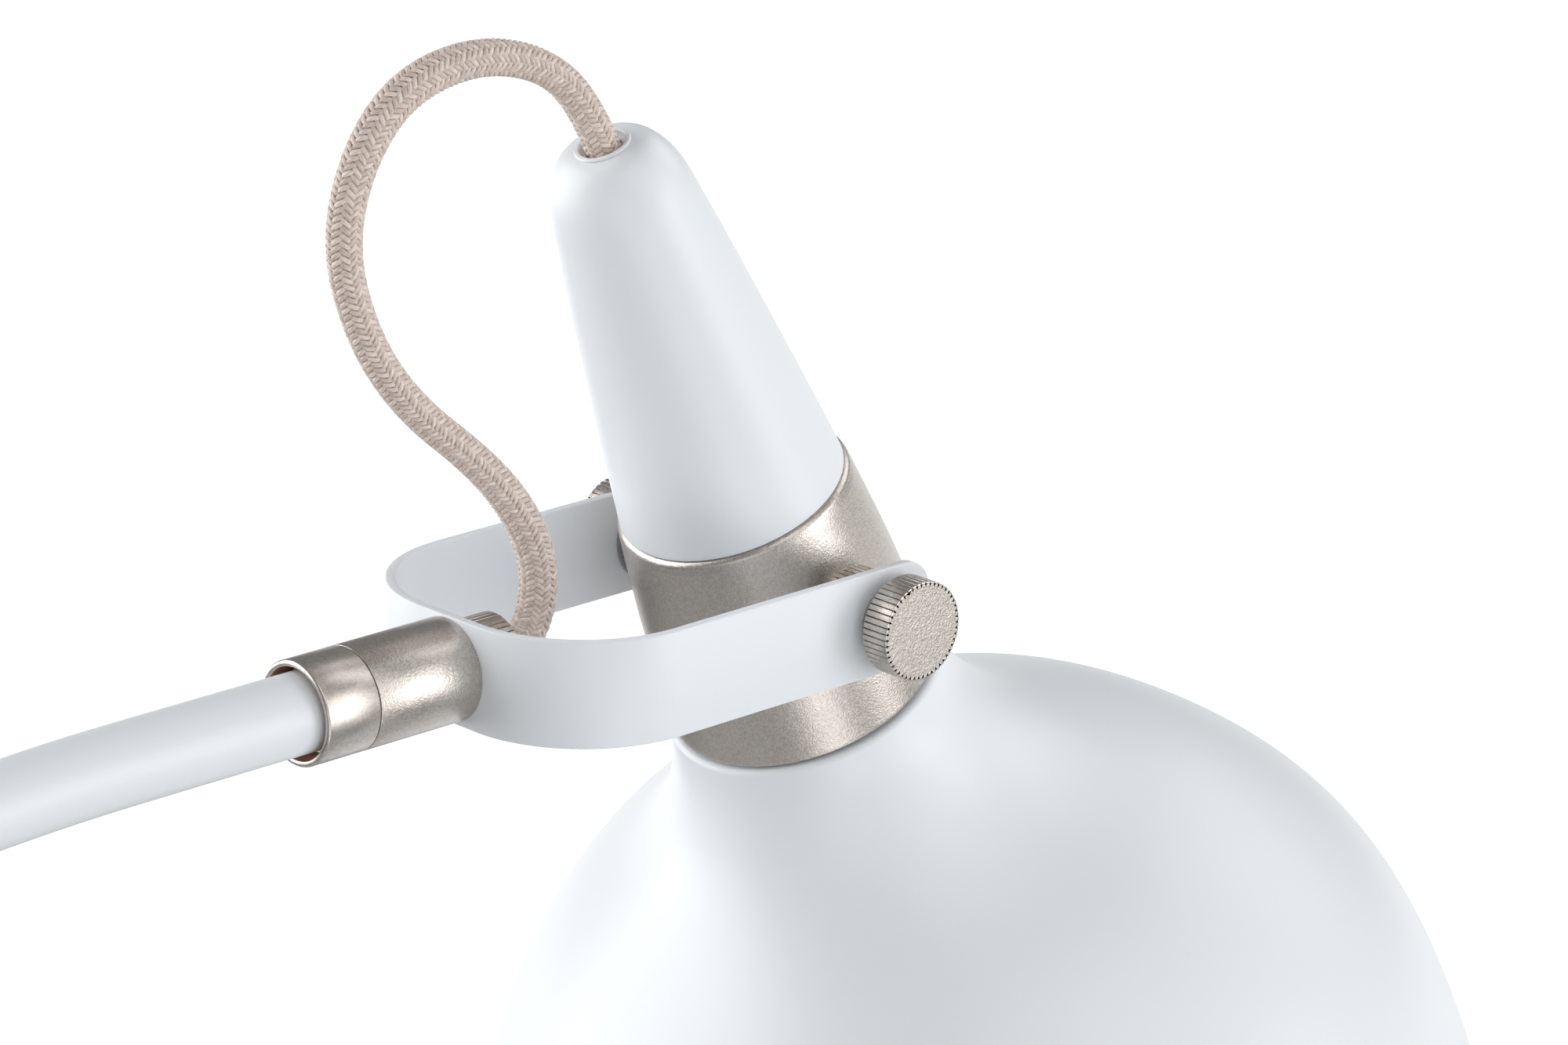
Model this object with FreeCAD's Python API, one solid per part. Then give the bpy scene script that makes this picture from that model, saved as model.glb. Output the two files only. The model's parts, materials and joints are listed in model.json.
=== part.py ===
import FreeCAD, Part
import math
import os

from FreeCAD import Vector

# Arc floor lamp: round weighted base, post, curved arm, strap yoke and tilting bell head.
# Millimetres. Origin at the centre of the base's underside, +Z up, +X from the post to the head.
# The arm is drawn along the plane y = 0. "s" is a height along the head's own axis,
# counted from the tilt pivot towards the cord's end of the head.

# ---- driving dimensions -------------------------------------------------------------------
PIVOT_HEIGHT = 1350.0
ARC_RADIUS = 580.0
ARM_STRAIGHT = 160.0
PIVOT_X = ARC_RADIUS + ARM_STRAIGHT
HEAD_TILT = 24.0

BASE_RADIUS = 140.0
BASE_HEIGHT = 32.0
BASE_WALL = 2.0
BASE_EDGE_RADIUS = 5.0
PAD_THICKNESS = 3.0
RECESS_RADIUS = 20.0
RECESS_DEPTH = 23.0
ROD_RADIUS = 6.0
ROD_BORE = 4.2
INLET_HEIGHT = 10.5
INLET_BORE = 3.8
INLET_RADIUS = 5.5
INLET_ROOM = 16.0
INLET_STANDS_OUT = 1.5
CHANNEL_WIDTH = 10.0
LEAD_BEND = 8.0

SOCKET_RADIUS = 24.0
POST_RADIUS = 12.5
POST_BORE = 10.5
POST_TOP = 650.0
FLANGE_TOP = BASE_HEIGHT + 6.0
SPIGOT_TOP = FLANGE_TOP + 30.0
CLAMP_RADIUS = 16.0
CLAMP_BOTTOM = POST_TOP - 10.0
CLAMP_TOP = POST_TOP + 18.0
LOCK_HEIGHT = POST_TOP + 9.0

ARM_RADIUS = 8.0
ARM_BORE = 6.5
ARM_BOTTOM = 260.0
ARM_END = -110.0
ARM_SEAT = 5.5
GUIDE_HEIGHT = 30.0
RUNNING_GAP = 0.06

FERRULE_RADIUS = 10.5
RING_WALL = 1.3
RING_BACK = -121.35
SEAM = -108.5
SEAM_HALF = 0.2
YOKE_BACK = -83.5
CORE_RADIUS = 6.4
CHAMBER_RADIUS = 8.6
FERRULE_FACE = 4.0
NIPPLE_RADIUS = 5.0
NIPPLE_BORE = 4.0

STRAP_WIDTH = 21.7
STRAP_THICK = 2.0
STRAP_HALF = 36.3
STRAP_CORNER = 27.8
STRAP_END = 11.0
STRAP_END_CORNER = 6.5
GLAND_RADIUS = 8.7
GLAND_CONE = 1.0
GLAND_FLOOR = 2.3
GLAND_FACE = -70.3
GLAND_TEETH = 44

KNOB_RADIUS = 10.1
KNOB_TEETH = 50
KNOB_HUB_RADIUS = 6.5
KNOB_HUB = 2.35
KNOB_THICK = 6.4
STUD_RADIUS = 2.5
WASHER_THICK = 0.5
SPOTFACE_RADIUS = 11.5
SPOTFACE_FLOOR = 23.4
BOSS_RADIUS = 8.5
BOSS_SHANK = 6.0
BOSS_TEETH = 42

COLLAR_TOP = 22.3
COLLAR_BOTTOM = -27.0
COLLAR_BORE = 21.0
COLLAR_LIP = 17.0
LIP_UNDER = 8.0
LIP_TOP = 14.0
SPIGOT_HEIGHT = 6.0
SPIGOT_WALL = 1.8
SPIGOT_RADIUS = 21.0
CAP_TOP = 106.4
CAP_WALL = 1.5
GROMMET_RADIUS = 5.2
GROMMET_BORE = 4.6
SHADE_TOP = -27.6
SHADE_WALL = 1.2
SHADE_RIM = -214.0
HOLDER_RADIUS = 19.0
HOLDER_SEAT = 3.7
HOLDER_WALL = 2.0
HOLDER_BOTTOM = -12.0
SKIRT_RADIUS = 20.0
SKIRT_BORE = 15.2
SKIRT_BOTTOM = -46.0
BRIDGE_THICK = 2.0
BULB_FOOT_RADIUS = 13.3
BULB_FOOT_END = -40.0
BULB_RADIUS = 30.0
BULB_CENTRE = -96.0

CORD_RADIUS = 3.5
CORD_START = -73.2
LOOP_END_S = 101.0

# The loop of cord between the gland nut and the head's top, as (x, z) from the tilt pivot.
LOOP_ROUTE = [
    (-73.2, 0.0), (-65.5, 0.0), (-60.6, 6.0), (-59.9, 17.0), (-65.3, 28.6), (-75.0, 40.0),
    (-92.5, 54.8), (-103.2, 70.3), (-108.6, 88.5), (-104.4, 104.6), (-93.6, 116.8),
    (-75.5, 120.6), (-58.0, 116.0), (-47.0, 105.4), (-41.1, 92.3),
]

# Outlines of the turned and spun head pieces, as (radius, s).
COLLAR_SIDE = [(24.2, COLLAR_TOP), (26.5, 0.0), (28.0, COLLAR_BOTTOM)]
CAP_SIDE = [
    (23.5, COLLAR_TOP + 0.2), (21.5, 40.0), (19.0, 60.0), (16.4, 80.0), (15.0, 90.0),
    (13.5, 98.0), (11.2, 103.0), (8.6, 105.6), (5.6, CAP_TOP),
]
SHADE_SIDE = [
    (29.2, SHADE_TOP), (29.9, -34.0), (32.8, -42.0), (37.3, -50.0), (46.1, -60.0), (66.0, -75.0),
    (85.2, -95.0), (100.2, -120.0), (106.4, -150.0), (107.0, -185.0), (105.6, SHADE_RIM),
]

PIVOT = Vector(PIVOT_X, 0, PIVOT_HEIGHT)
X_AXIS = Vector(1, 0, 0)
Y_AXIS = Vector(0, 1, 0)
Z_AXIS = Vector(0, 0, 1)


# ---- helpers ------------------------------------------------------------------------------
def save(name, shape):
    """Write one piece, or one group of like pieces, to its own file."""
    solids = shape.Solids
    if not solids or not all(solid.isValid() for solid in solids):
        raise ValueError(name + " is not a valid solid")
    shape.exportStep("parts/" + name + ".step")
    print(f"{name:24s} {len(solids)} solid(s) {shape.Volume / 1000:10.2f} cm3")


def turned(outline):
    """Solid of revolution about Z from (radius, z) corners, given round the section."""
    points = [Vector(radius, 0, z) for radius, z in outline]
    face = Part.Face(Part.makePolygon(points + points[:1]))
    return face.revolve(Vector(0, 0, 0), Z_AXIS, 360)


def sleeve(outer, inner, bottom, top):
    """Plain ring or tube about Z."""
    body = Part.makeCylinder(outer, top - bottom, Vector(0, 0, bottom))
    if inner > 0:
        body = body.cut(Part.makeCylinder(inner, top - bottom, Vector(0, 0, bottom)))
    return body


def smooth_curve(points):
    """Smooth edge through (radius, s) points."""
    curve = Part.BSplineCurve()
    curve.interpolate([Vector(radius, 0, s) for radius, s in points])
    return curve.toShape()


def section_line(start, end):
    """Straight edge between two (radius, s) points."""
    return Part.makeLine(Vector(start[0], 0, start[1]), Vector(end[0], 0, end[1]))


def offset_inward(points, distance):
    """The same outline moved towards the axis, square to itself."""
    moved = []
    for index, (radius, s) in enumerate(points):
        before = points[max(index - 1, 0)]
        after = points[min(index + 1, len(points) - 1)]
        run = math.hypot(after[0] - before[0], after[1] - before[1])
        moved.append((
            radius + distance * (after[1] - before[1]) / run,
            s - distance * (after[0] - before[0]) / run,
        ))
    return moved


def closed_spin(edges):
    """Solid of revolution about Z from edges and the lines that join them, in order."""
    chain = []
    for index, edge in enumerate(edges):
        following = edges[(index + 1) % len(edges)]
        chain.append(edge)
        start = edge.valueAt(edge.LastParameter)
        end = following.valueAt(following.FirstParameter)
        if start.distanceToPoint(end) > 1e-6:
            chain.append(Part.makeLine(start, end))
    return Part.Face(Part.Wire(chain)).revolve(Vector(0, 0, 0), Z_AXIS, 360)


def along_x(shape):
    """Turn a piece built about Z so that its Z runs along +X, and hang it on the pivot's height."""
    turned_shape = shape.copy()
    turned_shape.rotate(Vector(0, 0, 0), Y_AXIS, 90)
    turned_shape.translate(PIVOT)
    return turned_shape


def along_y(shape, side):
    """Turn a piece built about Z so that its Z runs along +Y or -Y from the centre line."""
    turned_shape = shape.copy()
    turned_shape.rotate(Vector(0, 0, 0), X_AXIS, -90 * side)
    return turned_shape


def on_head(shape):
    """Put a piece built about the head's axis, pivot at the origin, into its tilted place."""
    tilted = shape.copy()
    tilted.rotate(Vector(0, 0, 0), Y_AXIS, -HEAD_TILT)
    tilted.translate(PIVOT)
    return tilted


def hexagon(across_flats, bore, bottom, top):
    """Hexagon nut about Z."""
    corner = across_flats / math.sqrt(3)
    points = [
        Vector(corner * math.cos(math.radians(a)), corner * math.sin(math.radians(a)), bottom)
        for a in range(0, 360, 60)
    ]
    prism = Part.Face(Part.makePolygon(points + points[:1])).extrude(Vector(0, 0, top - bottom))
    return prism.cut(Part.makeCylinder(bore, top - bottom, Vector(0, 0, bottom)))


def knurled(radius, teeth, bottom, top, depth=0.35):
    """Disc about Z with straight V grooves round its edge."""
    points = []
    step = 2 * math.pi / teeth
    for tooth in range(teeth):
        for share, reach in ((0.0, radius - depth), (0.28, radius), (0.72, radius)):
            angle = (tooth + share) * step
            points.append(Vector(reach * math.cos(angle), reach * math.sin(angle), bottom))
    return Part.Face(Part.makePolygon(points + points[:1])).extrude(Vector(0, 0, top - bottom))


def cord_path(points):
    """Straight runs joined by tangent arcs, each as large as its two runs allow."""
    edges = []
    radii = []
    cursor = points[0]
    for before, corner, after in zip(points, points[1:], points[2:]):
        inward = before.sub(corner)
        outward = after.sub(corner)
        reach = 0.45 * min(inward.Length, outward.Length)
        half_turn = (math.pi - inward.getAngle(outward)) / 2
        radius = reach / math.tan(half_turn)
        inward.normalize()
        outward.normalize()
        middle = inward.add(outward).normalize()
        entry = corner.add(inward * reach)
        leave = corner.add(outward * reach)
        top = corner.add(middle * (radius / math.cos(half_turn) - radius))
        edges.append(Part.LineSegment(cursor, entry).toShape())
        edges.append(Part.Arc(entry, top, leave).toShape())
        radii.append(radius)
        cursor = leave
    edges.append(Part.LineSegment(cursor, points[-1]).toShape())
    return Part.Wire(edges), radii


def cord(path, start, direction):
    """Plain round tube along a path."""
    section = Part.Wire(Part.Circle(start, direction, CORD_RADIUS).toShape())
    tube = path.makePipeShell([section], True, True)
    expected = math.pi * CORD_RADIUS ** 2 * path.Length
    print(f"cord of {path.Length:.1f} mm, volume / expected {tube.Volume / expected:.4f}")
    return tube


# ---- base and post ------------------------------------------------------------------------
def base_cover():
    """Pressed cover with a rounded top edge, open below, pierced for the rod and the inlet."""
    body = Part.makeCylinder(BASE_RADIUS, BASE_HEIGHT - PAD_THICKNESS, Vector(0, 0, PAD_THICKNESS))
    rim = [edge for edge in body.Edges if edge.BoundBox.ZMin > BASE_HEIGHT - 0.1]
    body = body.makeFillet(BASE_EDGE_RADIUS, rim)
    hollow = Part.makeCylinder(
        BASE_RADIUS - BASE_WALL,
        BASE_HEIGHT - BASE_WALL - PAD_THICKNESS,
        Vector(0, 0, PAD_THICKNESS),
    )
    ceiling = [edge for edge in hollow.Edges if edge.BoundBox.ZMin > BASE_HEIGHT - BASE_WALL - 0.1]
    hollow = hollow.makeFillet(BASE_EDGE_RADIUS - BASE_WALL, ceiling)
    hole = Part.makeCylinder(ROD_RADIUS, BASE_HEIGHT)
    inlet = Part.makeCylinder(INLET_RADIUS, 10, Vector(-BASE_RADIUS - 5, 0, INLET_HEIGHT), X_AXIS)
    return body.cut(hollow).cut(hole).cut(inlet)


def base_weight():
    """Cast ballast disc with a recess for the nut and a channel for the lead."""
    top = BASE_HEIGHT - BASE_WALL
    radius = BASE_RADIUS - BASE_WALL - 0.5
    body = Part.makeCylinder(radius, top - PAD_THICKNESS, Vector(0, 0, PAD_THICKNESS))
    upper = [edge for edge in body.Edges if edge.BoundBox.ZMin > top - 0.1]
    body = body.makeFillet(BASE_EDGE_RADIUS - 1, upper)
    recess = Part.makeCylinder(RECESS_RADIUS, RECESS_DEPTH, Vector(0, 0, PAD_THICKNESS))
    hole = Part.makeCylinder(ROD_RADIUS, BASE_HEIGHT)
    channel = Part.makeBox(
        radius + 5,
        CHANNEL_WIDTH,
        INLET_HEIGHT + CHANNEL_WIDTH / 2 - PAD_THICKNESS,
        Vector(-radius - 5, -CHANNEL_WIDTH / 2, PAD_THICKNESS),
    )
    gland_room = Part.makeBox(
        15, INLET_ROOM, INLET_ROOM, Vector(-radius - 5, -INLET_ROOM / 2, PAD_THICKNESS))
    return body.cut(recess).cut(hole).cut(channel).cut(gland_room)


def inlet_gland():
    """Bush for the lead, with a lip outside the cover and a ridge inside it."""
    inside = INLET_STANDS_OUT + BASE_WALL + 0.2
    gland = sleeve(INLET_RADIUS, INLET_BORE, 0, 11.5)
    gland = gland.fuse(sleeve(INLET_RADIUS + 1.5, INLET_BORE, 0, INLET_STANDS_OUT))
    gland = gland.fuse(sleeve(INLET_RADIUS + 0.9, INLET_BORE, inside, inside + 1.5)).removeSplitter()
    gland.rotate(Vector(0, 0, 0), Y_AXIS, 90)
    gland.translate(Vector(-BASE_RADIUS - INLET_STANDS_OUT, 0, INLET_HEIGHT))
    return gland


def base_pieces():
    save("base_cover", base_cover())
    save("base_weight", base_weight())
    pad = Part.makeCylinder(BASE_RADIUS - 1.5, PAD_THICKNESS)
    save("base_pad", pad.makeChamfer(0.6, [edge for edge in pad.Edges if edge.BoundBox.ZMax < 0.1]))
    ceiling = PAD_THICKNESS + RECESS_DEPTH
    washer_under = ceiling - 2
    save("rod_nut", hexagon(19, ROD_RADIUS, washer_under - 6, washer_under))
    save("rod_washer", sleeve(15, ROD_RADIUS, washer_under, ceiling))
    save("post_rod", sleeve(ROD_RADIUS, ROD_BORE, INLET_HEIGHT + LEAD_BEND, FLANGE_TOP + 20))
    socket = turned([
        (ROD_RADIUS, BASE_HEIGHT), (SOCKET_RADIUS, BASE_HEIGHT), (SOCKET_RADIUS, FLANGE_TOP - 2),
        (SOCKET_RADIUS - 2, FLANGE_TOP),
        (POST_BORE, FLANGE_TOP), (POST_BORE, SPIGOT_TOP - 1), (POST_BORE - 1, SPIGOT_TOP),
        (ROD_RADIUS, SPIGOT_TOP),
    ])
    save("post_socket", socket)
    save("inlet_gland", inlet_gland())


def post_pieces():
    save("post_tube", sleeve(POST_RADIUS, POST_BORE, FLANGE_TOP, POST_TOP))
    clamp = turned([
        (POST_RADIUS, CLAMP_BOTTOM), (CLAMP_RADIUS - 0.6, CLAMP_BOTTOM),
        (CLAMP_RADIUS, CLAMP_BOTTOM + 0.6), (CLAMP_RADIUS, CLAMP_TOP - 0.6),
        (CLAMP_RADIUS - 0.6, CLAMP_TOP), (POST_BORE, CLAMP_TOP), (POST_BORE, POST_TOP),
        (POST_RADIUS, POST_TOP),
    ])
    screw_hole = Part.makeCylinder(STUD_RADIUS + 0.05, 30, Vector(0, 0, LOCK_HEIGHT), -X_AXIS)
    save("post_clamp", clamp.cut(screw_hole))
    bush_radius = POST_BORE - RUNNING_GAP
    bush_bore = ARM_RADIUS + RUNNING_GAP
    bush = turned([
        (bush_bore, POST_TOP - 50), (bush_radius, POST_TOP - 50), (bush_radius, CLAMP_TOP + 0.2),
        (CLAMP_RADIUS - 1.5, CLAMP_TOP + 0.2), (CLAMP_RADIUS - 1.5, CLAMP_TOP + 2),
        (CLAMP_RADIUS - 2.5, CLAMP_TOP + 3), (bush_bore, CLAMP_TOP + 3),
    ])
    save("post_bush", bush)
    shoe = Part.makeCylinder(STUD_RADIUS, 1.3, Vector(0, 0, POST_BORE + 0.2))
    knob, stud = knob_and_stud(4.2)
    knob.translate(Vector(0, 0, CLAMP_RADIUS + 0.3))
    stud.translate(Vector(0, 0, CLAMP_RADIUS + 0.3))
    for name, shape in (("lock_shoe", shoe), ("lock_knob", knob), ("lock_stud", stud)):
        shape.rotate(Vector(0, 0, 0), Y_AXIS, -90)
        shape.translate(Vector(0, 0, LOCK_HEIGHT))
        save(name, shape)


def knob_and_stud(reach):
    """Knurled thumb screw about Z: its hub starts at z = 0, and its stud reaches down from there."""
    disc = knurled(KNOB_RADIUS, KNOB_TEETH, KNOB_HUB, KNOB_HUB + KNOB_THICK)
    knob = disc.fuse(Part.makeCylinder(KNOB_HUB_RADIUS, KNOB_HUB + 0.5)).removeSplitter()
    socket_depth = KNOB_HUB + 4.0
    knob = knob.cut(Part.makeCylinder(STUD_RADIUS, socket_depth))
    stud = Part.makeCylinder(STUD_RADIUS, reach + socket_depth, Vector(0, 0, -reach))
    return knob, stud


# ---- arm ----------------------------------------------------------------------------------
def bent_tube(outer, inner, bottom, arm_end):
    """Round section carried up the mast, round the arc and along to the head's end."""
    def section(centre, normal):
        face = Part.Face(Part.Wire(Part.Circle(centre, normal, outer).toShape()))
        if inner > 0:
            face = face.cut(Part.Face(Part.Wire(Part.Circle(centre, normal, inner).toShape())))
        return face
    arc_start = Vector(0, 0, PIVOT_HEIGHT - ARC_RADIUS)
    arc_end = Vector(ARC_RADIUS, 0, PIVOT_HEIGHT)
    arc_centre = Vector(ARC_RADIUS, 0, PIVOT_HEIGHT - ARC_RADIUS)
    mast = section(Vector(0, 0, bottom), Z_AXIS).extrude(Vector(0, 0, arc_start.z - bottom))
    bend = section(arc_start, Z_AXIS).revolve(arc_centre, Y_AXIS, 90)
    reach = section(arc_end, X_AXIS).extrude(Vector(PIVOT_X + arm_end - ARC_RADIUS, 0, 0))
    return mast.fuse([bend, reach]).removeSplitter()


def arm_pieces():
    save("arm_tube", bent_tube(ARM_RADIUS, ARM_BORE, ARM_BOTTOM, ARM_END))
    guide_radius = POST_BORE - RUNNING_GAP
    guide_bottom = ARM_BOTTOM + 2
    guide_top = guide_bottom + GUIDE_HEIGHT
    guide = turned([
        (ARM_RADIUS, guide_bottom), (guide_radius - 1, guide_bottom), (guide_radius, guide_bottom + 1),
        (guide_radius, guide_top - 1), (guide_radius - 1, guide_top), (ARM_RADIUS, guide_top),
    ])
    save("arm_guide", guide)
    ring = turned([
        (CORE_RADIUS, SEAM - SEAM_HALF), (CORE_RADIUS, ARM_END), (ARM_RADIUS, ARM_END),
        (ARM_RADIUS, ARM_END - ARM_SEAT), (FERRULE_RADIUS - RING_WALL, ARM_END - ARM_SEAT),
        (FERRULE_RADIUS - RING_WALL, RING_BACK + 0.4), (FERRULE_RADIUS - 0.9, RING_BACK),
        (FERRULE_RADIUS - 0.5, RING_BACK), (FERRULE_RADIUS, RING_BACK + 0.5),
        (FERRULE_RADIUS, SEAM - SEAM_HALF),
    ])
    save("ferrule_ring", along_x(ring))
    save("swivel_core", along_x(sleeve(CORE_RADIUS, ROD_BORE, -130, -96.5)))
    save("swivel_washer", along_x(sleeve(FERRULE_RADIUS - 0.3, CORE_RADIUS, SEAM - SEAM_HALF, SEAM)))
    save("swivel_nut", along_x(hexagon(14.4, CORE_RADIUS, -103.9, -99.5)))


def yoke_strap():
    """Flat strip bent into a U, its ends rounded, pierced for the nipple and the two studs."""
    length = STRAP_END - YOKE_BACK
    low = Vector(YOKE_BACK, -STRAP_HALF, -STRAP_WIDTH / 2)
    outer = Part.makeBox(length, 2 * STRAP_HALF, STRAP_WIDTH, low)
    inner = Part.makeBox(
        length,
        2 * (STRAP_HALF - STRAP_THICK),
        STRAP_WIDTH,
        low.add(Vector(STRAP_THICK, STRAP_THICK, 0)),
    )

    def rounded(block, radius, back):
        uprights = [
            edge for edge in block.Edges
            if edge.BoundBox.ZLength > STRAP_WIDTH - 0.1 and abs(edge.BoundBox.XMin - back) < 0.1
        ]
        return block.makeFillet(radius, uprights)

    outer = rounded(outer, STRAP_CORNER, YOKE_BACK)
    inner = rounded(inner, STRAP_CORNER - STRAP_THICK, YOKE_BACK + STRAP_THICK)
    strap = outer.cut(inner)
    end_corners = [
        edge for edge in strap.Edges
        if edge.BoundBox.XMin > STRAP_END - 0.1
        and edge.BoundBox.YLength > STRAP_THICK - 0.1
    ]
    strap = strap.makeFillet(STRAP_END_CORNER, end_corners)
    stud_holes = Part.makeCylinder(
        STUD_RADIUS + 0.2, 2 * STRAP_HALF + 10, Vector(0, -STRAP_HALF - 5, 0), Y_AXIS
    )
    nipple_hole = Part.makeCylinder(NIPPLE_RADIUS, 20, Vector(YOKE_BACK - 10, 0, 0), X_AXIS)
    strap = strap.cut(stud_holes).cut(nipple_hole)
    strap.translate(PIVOT)
    return strap


def yoke_pieces():
    core_bore = CORE_RADIUS + RUNNING_GAP
    front = turned([
        (core_bore, SEAM + 0.05), (FERRULE_RADIUS, SEAM + 0.05), (FERRULE_RADIUS, YOKE_BACK),
        (NIPPLE_RADIUS, YOKE_BACK), (NIPPLE_RADIUS, YOKE_BACK - FERRULE_FACE),
        (CHAMBER_RADIUS, YOKE_BACK - FERRULE_FACE), (CHAMBER_RADIUS, SEAM + FERRULE_FACE + 0.2),
        (core_bore, SEAM + FERRULE_FACE + 0.2),
    ])
    save("ferrule_sleeve", along_x(front))
    nipple_end = GLAND_FACE - GLAND_FLOOR
    save("yoke_nipple", along_x(sleeve(NIPPLE_RADIUS, NIPPLE_BORE, YOKE_BACK - 8, nipple_end)))
    save("yoke_strap", yoke_strap())
    save("gland_nut", along_x(gland_nut(YOKE_BACK + STRAP_THICK, nipple_end)))


def gland_nut(back, nipple_end):
    """Knurled nut with a shallow cone in front, closed down to the cord past the nipple's end."""
    cone_back = Vector(0, 0, GLAND_FACE - GLAND_CONE)
    nut = knurled(GLAND_RADIUS, GLAND_TEETH, back, cone_back.z, 0.3)
    cone = Part.makeCone(GLAND_RADIUS - 0.35, GLAND_RADIUS - 1.2, GLAND_CONE, cone_back)
    thread = Part.makeCylinder(NIPPLE_RADIUS, nipple_end - back, Vector(0, 0, back))
    hole = Part.makeCylinder(CORD_RADIUS + 0.4, 10, Vector(0, 0, GLAND_FACE - 5))
    return nut.fuse(cone).cut(thread).cut(hole).removeSplitter()


# ---- head ---------------------------------------------------------------------------------
def collar_shape():
    """Tapered ring with a spigot for the cap, a lip for the bridge and two flats for the bosses."""
    top_edge = section_line((SPIGOT_RADIUS, COLLAR_TOP), (COLLAR_SIDE[0][0] - 0.5, COLLAR_TOP))
    side_points = [(COLLAR_SIDE[0][0], COLLAR_TOP - 0.5)] + COLLAR_SIDE[1:]
    side = smooth_curve(side_points)
    bottom_in = section_line((COLLAR_BORE, COLLAR_BOTTOM), (COLLAR_BORE, LIP_UNDER))
    lip = section_line((COLLAR_LIP, LIP_UNDER), (COLLAR_LIP, LIP_TOP))
    spigot_bore = SPIGOT_RADIUS - SPIGOT_WALL
    spigot_top = COLLAR_TOP + SPIGOT_HEIGHT
    spigot_in = section_line((spigot_bore, LIP_TOP), (spigot_bore, spigot_top))
    spigot_out = section_line((SPIGOT_RADIUS, spigot_top), (SPIGOT_RADIUS, COLLAR_TOP))
    body = closed_spin([top_edge, side, bottom_in, lip, spigot_in, spigot_out])
    for side_sign in (1, -1):
        flat = along_y(Part.makeCylinder(SPOTFACE_RADIUS, 20, Vector(0, 0, SPOTFACE_FLOOR)), side_sign)
        hole = along_y(Part.makeCylinder(BOSS_SHANK, 20, Vector(0, 0, COLLAR_BORE - 5)), side_sign)
        body = body.cut(flat).cut(hole)
    return body


def pivot_pieces():
    """What stands on the tilt axis at each side, outwards from the collar."""
    strap_inside = STRAP_HALF - STRAP_THICK
    boss_end = strap_inside - WASHER_THICK - 0.05
    boss_start = COLLAR_BORE + 0.3
    screw_bore = STUD_RADIUS + 0.05
    shank = sleeve(BOSS_SHANK, screw_bore, boss_start, SPOTFACE_FLOOR)
    disc = knurled(BOSS_RADIUS, BOSS_TEETH, SPOTFACE_FLOOR, boss_end)
    disc = disc.cut(Part.makeCylinder(screw_bore, boss_end))
    boss = disc.fuse(shank).removeSplitter()
    washer_bore = STUD_RADIUS + 0.2
    friction = sleeve(9.3, washer_bore, boss_end, strap_inside - 0.05)
    washer = sleeve(7.5, washer_bore, STRAP_HALF, STRAP_HALF + WASHER_THICK)
    knob, stud = knob_and_stud(STRAP_HALF + WASHER_THICK - 22)
    for shape in (knob, stud):
        shape.translate(Vector(0, 0, STRAP_HALF + WASHER_THICK + 0.05))
    for side_name, side_sign in (("left", 1), ("right", -1)):
        save("pivot_boss_" + side_name, on_head(along_y(boss, side_sign)))
        save("friction_disc_" + side_name, on_head(along_y(friction, side_sign)))
        save("strap_washer_" + side_name, on_head(along_y(washer, side_sign)))
        save("tilt_knob_" + side_name, on_head(along_y(knob, side_sign)))
        save("tilt_stud_" + side_name, on_head(along_y(stud, side_sign)))


def head_cap():
    """Tapered cap, closed over by a rounded top with a hole for the cord."""
    outer = smooth_curve(list(reversed(CAP_SIDE)))
    inner_points = [(radius - CAP_WALL, s) for radius, s in CAP_SIDE[:6]]
    inner_points.append((CAP_SIDE[6][0] - 1.6, CAP_SIDE[6][1] - 0.9))
    inner_points.append((CAP_SIDE[8][0] + 0.8, CAP_TOP - CAP_WALL - 0.1))
    inner = smooth_curve(inner_points)
    top_in = CAP_TOP - CAP_WALL - 0.1
    bore = section_line((GROMMET_RADIUS, top_in), (GROMMET_RADIUS, CAP_TOP))
    return closed_spin([outer, inner, bore])


def head_shells():
    save("collar", on_head(collar_shape()))
    save("head_cap", on_head(head_cap()))
    under = CAP_TOP - CAP_WALL - 0.1
    grommet = turned([
        (GROMMET_BORE, under - 1.6), (GROMMET_RADIUS + 0.6, under - 1.6), (GROMMET_RADIUS + 0.6, under),
        (GROMMET_RADIUS, under), (GROMMET_RADIUS, CAP_TOP), (GROMMET_RADIUS + 0.5, CAP_TOP),
        (GROMMET_RADIUS + 0.5, CAP_TOP + 0.3), (GROMMET_RADIUS + 0.3, CAP_TOP + 0.5),
        (GROMMET_BORE, CAP_TOP + 0.5),
    ])
    save("cap_grommet", on_head(grommet))
    outer = smooth_curve(SHADE_SIDE)
    inner = smooth_curve(list(reversed(offset_inward(SHADE_SIDE, SHADE_WALL)[1:])))
    neck_under = SHADE_TOP - SHADE_WALL
    neck = section_line((SKIRT_RADIUS + 0.3, neck_under), (SKIRT_RADIUS + 0.3, SHADE_TOP))
    corner = section_line((SHADE_SIDE[0][0] - 1.4, neck_under), (SKIRT_RADIUS + 1, neck_under))
    save("shade", on_head(closed_spin([outer, inner, corner, neck])))


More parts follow.
